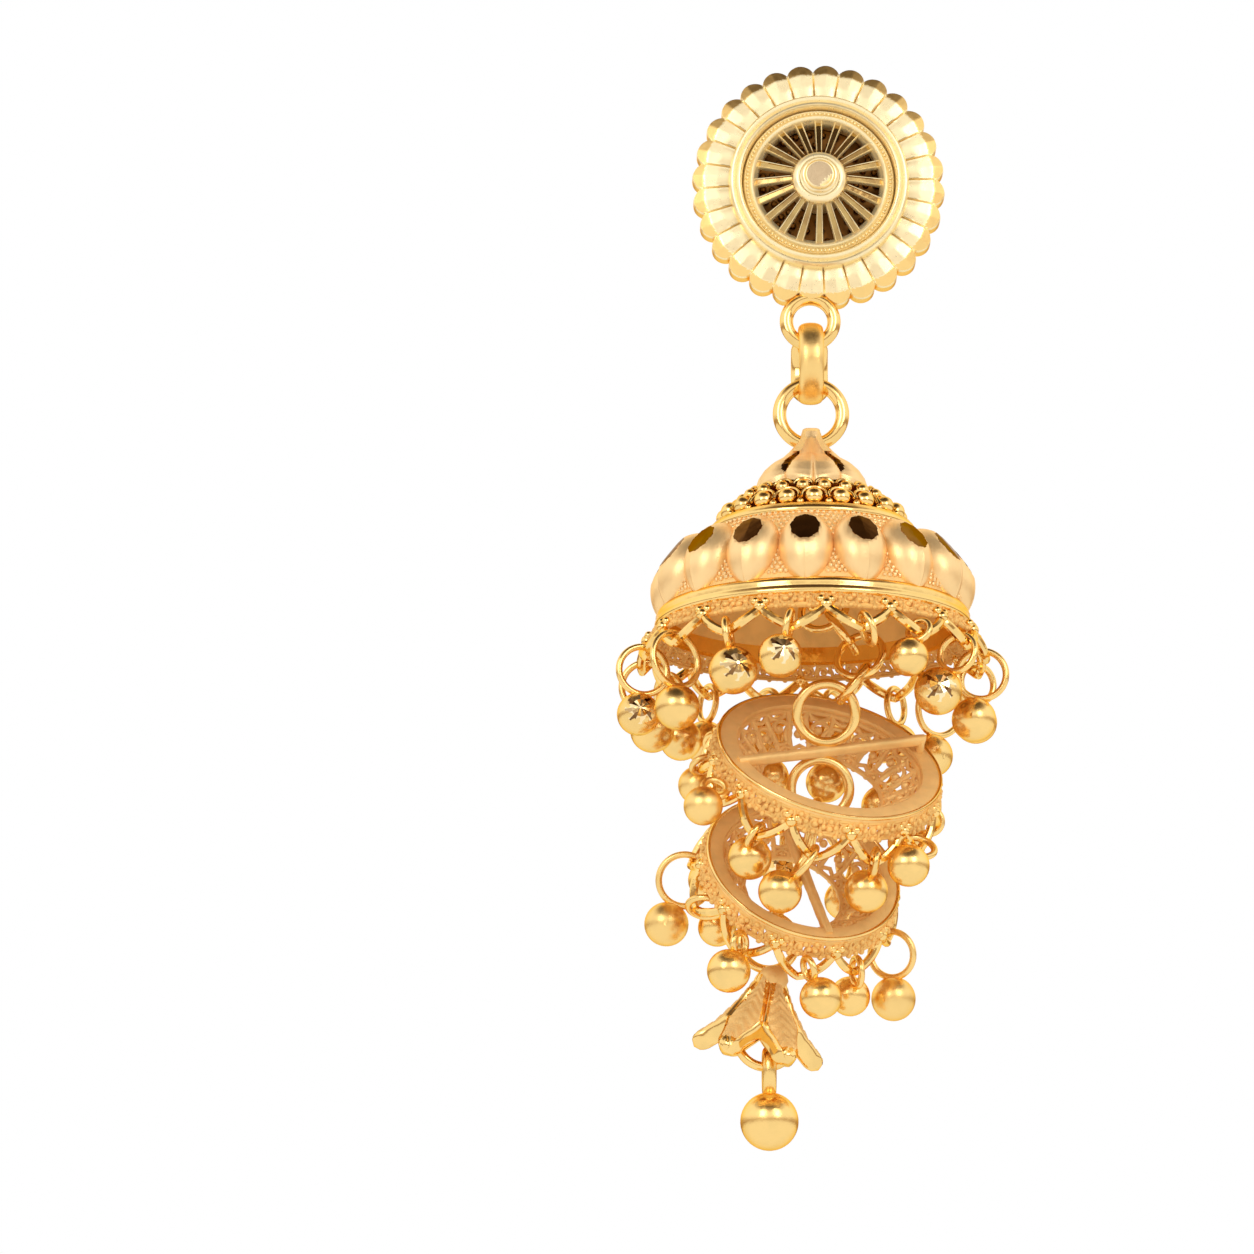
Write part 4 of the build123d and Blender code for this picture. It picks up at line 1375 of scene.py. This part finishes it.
class JHUMKA_OT_bell(Operator):
    """Make the bell: shell, cap, crown beads, bosses, granulation and rims"""

    bl_idname = "jhumka.bell"
    bl_label = "Bell"

    def execute(self, context):
        size = Millimetres(context.scene.jhumka_bell)
        home = ("bell", "bell_gold", "bell_dome")
        crown = turned(CROWN_PROFILE, sides=96)
        rims = turned(UPPER_RIM, LOWER_RIM)
        piece("bell_shell", bell_shell(), ("sand", "inside"), home, BELL_PLACE, 50)
        piece("bell_cap", bell_cap(), ("satin", "facet"), home, BELL_PLACE, 30)
        piece("bell_neck", bell_neck(), ("sand",), home, BELL_PLACE, 40)
        # The crown's ground is dark with painted shade.
        piece("crown_band", crown, ("recess",), home, BELL_PLACE)
        piece("bell_rims", rims, ("polished",), home, BELL_PLACE, 60)
        beads, bosses, grains = crown_beads(size), boss_spindle(size), boss_grains(size)
        cut = ("satin", "facet")
        first = FRONT - size.boss_turn
        round_piece("crown_beads", beads, size.beads, ("polished",), home, FRONT, BELL_PLACE, 0.02)
        round_piece("bell_bosses", bosses, size.bosses, cut, home, first, BELL_PLACE, sharp=14)
        round_piece("bell_grains", grains, size.bosses, ("satin",), home, first, BELL_PLACE)
        piece("bell_ring", bell_hanger(), ("polished",), home)
        return {"FINISHED"}


class JHUMKA_OT_bell_lace(Operator):
    """Make the bell's openwork skirt and its wire zigzag"""

    bl_idname = "jhumka.bell_lace"
    bl_label = "Bell lace"

    def execute(self, context):
        size = Millimetres(context.scene.jhumka_bell)
        home = ("bell", "bell_gold", "bell_dome")
        pitch = 2 * pi / size.zigzags
        first = FRONT + size.zigzag_turn
        lace = lace_scroll(*BELL_LACE, pitch / 2, BELL_LACE_WIRE)
        round_piece("bell_skirt", lace, size.zigzags * 2, ("inside",), home, first, BELL_PLACE)
        unit = zigzag_unit(size.wire, pitch, BELL_PEAK, BELL_VALLEY)
        first += pitch / 2
        round_piece("bell_zigzag", unit, size.zigzags, ("wire",), home, first, BELL_PLACE)
        return {"FINISHED"}


class JHUMKA_OT_tiers(Operator):
    """Make the two leaning ring tiers with their bars, rings, lace and zigzags"""

    bl_idname = "jhumka.tiers"
    bl_label = "Tiers"

    def execute(self, context):
        size = Millimetres(context.scene.jhumka_tiers)
        for name, tier in TIERS.items():
            stem = f"tier_{name}"
            home = ("bell", "tier_gold", stem)
            place = tier_place(tier)
            inner, outer = tier["radii"]
            number = tier["zigzags"]
            pitch = 2 * pi / number
            first = -radians(tier["peak_turn"])
            rings = tier_rings(name, size.ring_wire)
            piece(stem + "_disc", tier_disc(tier), ("sand", "polished"), home, place, 50)
            piece(stem + "_bar", tier_bar(tier), ("sand",), home, sharp=50)
            piece(stem + "_rings", rings, ("bead",), home)
            edges = (outer - 0.12, -TIER_PLATE), (outer + 0.05, -size.skirt - 0.25)
            lace = lace_scroll(*edges, pitch / 2, TIER_LACE_WIRE)
            round_piece(stem + "_lace", lace, number * 2, ("inside",), home, first, place)
            edges = (inner + 0.1, -TIER_PLATE), (inner - size.basket, -TIER_PLATE - size.basket)
            basket = lace_scroll(*edges, pitch, BASKET_WIRE)
            round_piece(stem + "_basket", basket, number, ("sand",), home, first, place)
            valley = outer + TIER_FLARE, -size.skirt - size.zigzag
            unit = zigzag_unit(size.wire, pitch, (outer, -size.skirt), valley)
            round_piece(stem + "_zigzag", unit, number, ("wire",), home, first + pitch / 2, place)
        return {"FINISHED"}


class JHUMKA_OT_flower(Operator):
    """Make the six-petalled flower with its loop and ring"""

    bl_idname = "jhumka.flower"
    bl_label = "Flower"

    def execute(self, context):
        home = ("flower", "petal_gold", "flower_cap")
        gilt = ("sand", "polished")
        place = flower_place()
        round_piece("flower_petals", flower_petal(), PETALS, gilt, home, 0.0, place, sharp=50)
        piece("flower_core", flower_core(), gilt, home, sharp=50)
        return {"FINISHED"}


class JHUMKA_OT_drops(Operator):
    """Polish the hanging balls, jump rings, post and end ball"""

    bl_idname = "jhumka.drops"
    bl_label = "Drops"

    def execute(self, context):
        for name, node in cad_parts.items():
            if node.hide_render:
                continue
            finish = "wire" if name.startswith("connector") else "bead"
            if name in SOFT_DROPS:
                finish = "soft"
            for slot in node.material_slots:
                slot.material = gold(finish)
        for name, radius, way in STAR_CUTS:
            star = star_cut(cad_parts[name], radius, Vector(way).normalized())
            piece(f"{name}_star", star, ("star", "facet"), ("bell", "drop_gold"), sharp=3)
        return {"FINISHED"}


# The room seen by the metal: from behind it to the dark ceiling over the camera, and from
# below to above with the dark line where the table ends, as (place, level, warmth).
CEILING_TONES = (
    (0.0, 0.9, 0.0), (0.4, 1.0, 0.0), (0.84, 1.0, 0.0), (0.885, 0.6, 0.4), (0.935, 0.16, 0.8),
    (1.0, 0.05, 0.8),
)
SKIRTING_TONES = (
    (0.0, 1.0, 0.0), (0.42, 0.95, 0.1), (0.49, 0.4, 0.7), (0.545, 0.45, 0.7), (0.61, 1.0, 0.0),
    (1.0, 1.0, 0.0),
)
SENSOR = 36.0
# The view's width and its middle, in millimetres across, up and along the line of sight.
VIEW_WIDTH = 84.73
AIM_X, AIM_UP, AIM_DEPTH = -13.21, -29.61, -10.84
PAPER = (0.9, 0.89, 0.87, 1)
FLOOR_REACH = 3.0
SOFTBOX_TARGET = Vector((CHAIN_X, CHAIN_Y, -35))
SOFTBOX_DISTANCE = 300
SOFTBOX_WIDTH, SOFTBOX_TALL = 0.11, 1.2
# Each softbox by its turn and its rise, in degrees.
SOFTBOXES = {"key_left": (-30, 20), "key_right": (30, 22)}


class JHUMKA_OT_stage(Operator):
    """Set the floor, the soft light, the pale surroundings and the camera"""

    bl_idname = "jhumka.stage"
    bl_label = "Stage"

    def execute(self, context):
        scene = context.scene
        stage = Millimetres(scene.jhumka_stage)
        scene.view_settings.view_transform = "Standard"
        self.camera(scene, stage)
        self.floor(stage)
        self.world(scene, stage)
        self.softboxes(stage)
        return {"FINISHED"}

    def camera(self, scene, stage):
        lens = bpy.data.cameras.new("camera")
        lens.sensor_width = SENSOR
        lens.lens = SENSOR * stage.distance / VIEW_WIDTH
        lens.clip_start = 0.01
        spot = X_AXIS * AIM_X + SIGHT_UP * AIM_UP + SIGHT * (AIM_DEPTH - stage.distance)
        scene.camera = add_object("camera", lens)
        scene.camera.location = spot * MM
        scene.camera.rotation_euler = (pi / 2 + SIGHT_RISE, 0, 0)

    def floor(self, stage):
        data = bpy.data.meshes.new("floor")
        signs = ((-1, -1), (1, -1), (1, 1), (-1, 1))
        drop = -stage.floor_drop * MM
        corners = [(x * FLOOR_REACH, y * FLOOR_REACH, drop) for x, y in signs]
        data.from_pydata(corners, [], [(0, 1, 2, 3)])
        material = bpy.data.materials.new("floor_paper")
        material.use_nodes = True
        tree = material.node_tree
        paper = tree.nodes["Principled BSDF"]
        feed(tree, paper, {"Base Color": PAPER, "Roughness": 0.9})
        glossy = grow(tree, "ShaderNodeLightPath")["Is Glossy Ray"]
        shine = grow(tree, "ShaderNodeEmission")[0]
        seen = {"Fac": glossy, 1: paper.outputs[0], 2: shine}
        surface = grow(tree, "ShaderNodeMixShader", seen)[0]
        feed(tree, tree.nodes["Material Output"], {"Surface": surface})
        data.materials.append(material)
        add_object("floor", data)

    def world(self, scene, stage):
        scene.world = bpy.data.worlds.new("room")
        scene.world.use_nodes = True
        tree = scene.world.node_tree
        tree.nodes.clear()
        way = grow(tree, "ShaderNodeTexCoord")["Generated"]
        lean = (0, -sin(stage.ceiling_lean), cos(stage.ceiling_lean))
        toward = grow(tree, "ShaderNodeVectorMath", {0: way, 1: lean}, operation="DOT_PRODUCT")
        height = grow(tree, "ShaderNodeSeparateXYZ", {0: way})["Z"]
        both = {
            "Factor": 1.0,
            "A": self.ramp(tree, toward["Value"], CEILING_TONES),
            "B": self.ramp(tree, height, SKIRTING_TONES),
        }
        tones = grow(tree, "ShaderNodeMix", both, data_type="RGBA", blend_type="MULTIPLY")["Result"]
        room = grow(tree, "ShaderNodeBackground", {"Color": tones, "Strength": stage.fill})[0]
        white = grow(tree, "ShaderNodeBackground", {"Color": (1, 1, 1, 1)})[0]
        ray = grow(tree, "ShaderNodeLightPath")
        seen = {"Fac": ray["Is Glossy Ray"], 1: white, 2: room}
        metal = grow(tree, "ShaderNodeMixShader", seen)[0]
        seen = {"Fac": ray["Is Camera Ray"], 1: metal, 2: white}
        surface = grow(tree, "ShaderNodeMixShader", seen)[0]
        grow(tree, "ShaderNodeOutputWorld", {"Surface": surface})

    def ramp(self, tree, value, tones):
        """The room's colour along a line of sight, through (place, level, warmth) stops."""
        lift = grow(tree, "ShaderNodeMapRange", {"Value": value, "From Min": -1.0})["Result"]
        node = tree.nodes.new("ShaderNodeValToRGB")
        feed(tree, node, {"Fac": lift})
        stops = node.color_ramp.elements
        stops.remove(stops[0])
        stops[0].position = tones[0][0]
        for position, _, _ in tones[1:]:
            stops.new(position)
        for stop, (_, level, warmth) in zip(stops, tones):
            stop.color = (level, level * (1 - 0.4 * warmth), level * (1 - 0.7 * warmth), 1)
        return node.outputs["Color"]

    def softboxes(self, stage):
        for name, (turn, rise) in SOFTBOXES.items():
            turn, rise = radians(turn), radians(rise)
            way = Vector((sin(turn) * cos(rise), -cos(turn) * cos(rise), sin(rise)))
            light = bpy.data.lights.new(name, "AREA")
            light.shape = "RECTANGLE"
            light.size = SOFTBOX_WIDTH
            light.size_y = SOFTBOX_WIDTH * SOFTBOX_TALL
            light.energy = stage.softbox * pi * light.size * light.size_y
            lamp = add_object(name, light)
            lamp.location = (SOFTBOX_TARGET + way * SOFTBOX_DISTANCE) * MM
            lamp.rotation_euler = way.to_track_quat("Z", "Y").to_euler()


OPERATORS = (
    JHUMKA_OT_stage,
    JHUMKA_OT_stud,
    JHUMKA_OT_wheel,
    JHUMKA_OT_link,
    JHUMKA_OT_bell,
    JHUMKA_OT_bell_lace,
    JHUMKA_OT_tiers,
    JHUMKA_OT_flower,
    JHUMKA_OT_drops,
)
GROUPS = {
    "jhumka_stud": JHUMKA_PG_stud,
    "jhumka_bell": JHUMKA_PG_bell,
    "jhumka_tiers": JHUMKA_PG_tiers,
    "jhumka_gold": JHUMKA_PG_gold,
    "jhumka_stage": JHUMKA_PG_stage,
}


class JHUMKA_PT_panel(Panel):
    """Lists the earring's operators"""

    bl_idname = "JHUMKA_PT_panel"
    bl_label = "Jhumka earring"
    bl_space_type = "VIEW_3D"
    bl_region_type = "UI"
    bl_category = "Jhumka"

    def draw(self, context):
        for operator in OPERATORS:
            self.layout.operator(operator.bl_idname)
        for name, group in GROUPS.items():
            box = self.layout.box()
            for prop in group.__annotations__:
                box.prop(getattr(context.scene, name), prop)


def register():
    for kind in (*GROUPS.values(), *OPERATORS, JHUMKA_PT_panel):
        bpy.utils.register_class(kind)
    for name, group in GROUPS.items():
        setattr(bpy.types.Scene, name, PointerProperty(type=group))


def unregister():
    for name in GROUPS:
        delattr(bpy.types.Scene, name)
    for kind in (JHUMKA_PT_panel, *reversed(OPERATORS), *reversed(GROUPS.values())):
        bpy.utils.unregister_class(kind)


def main():
    register()
    for operator in OPERATORS:
        group, name = operator.bl_idname.split(".")
        getattr(getattr(bpy.ops, group), name)()
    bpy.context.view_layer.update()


if __name__ == "__main__":
    main()
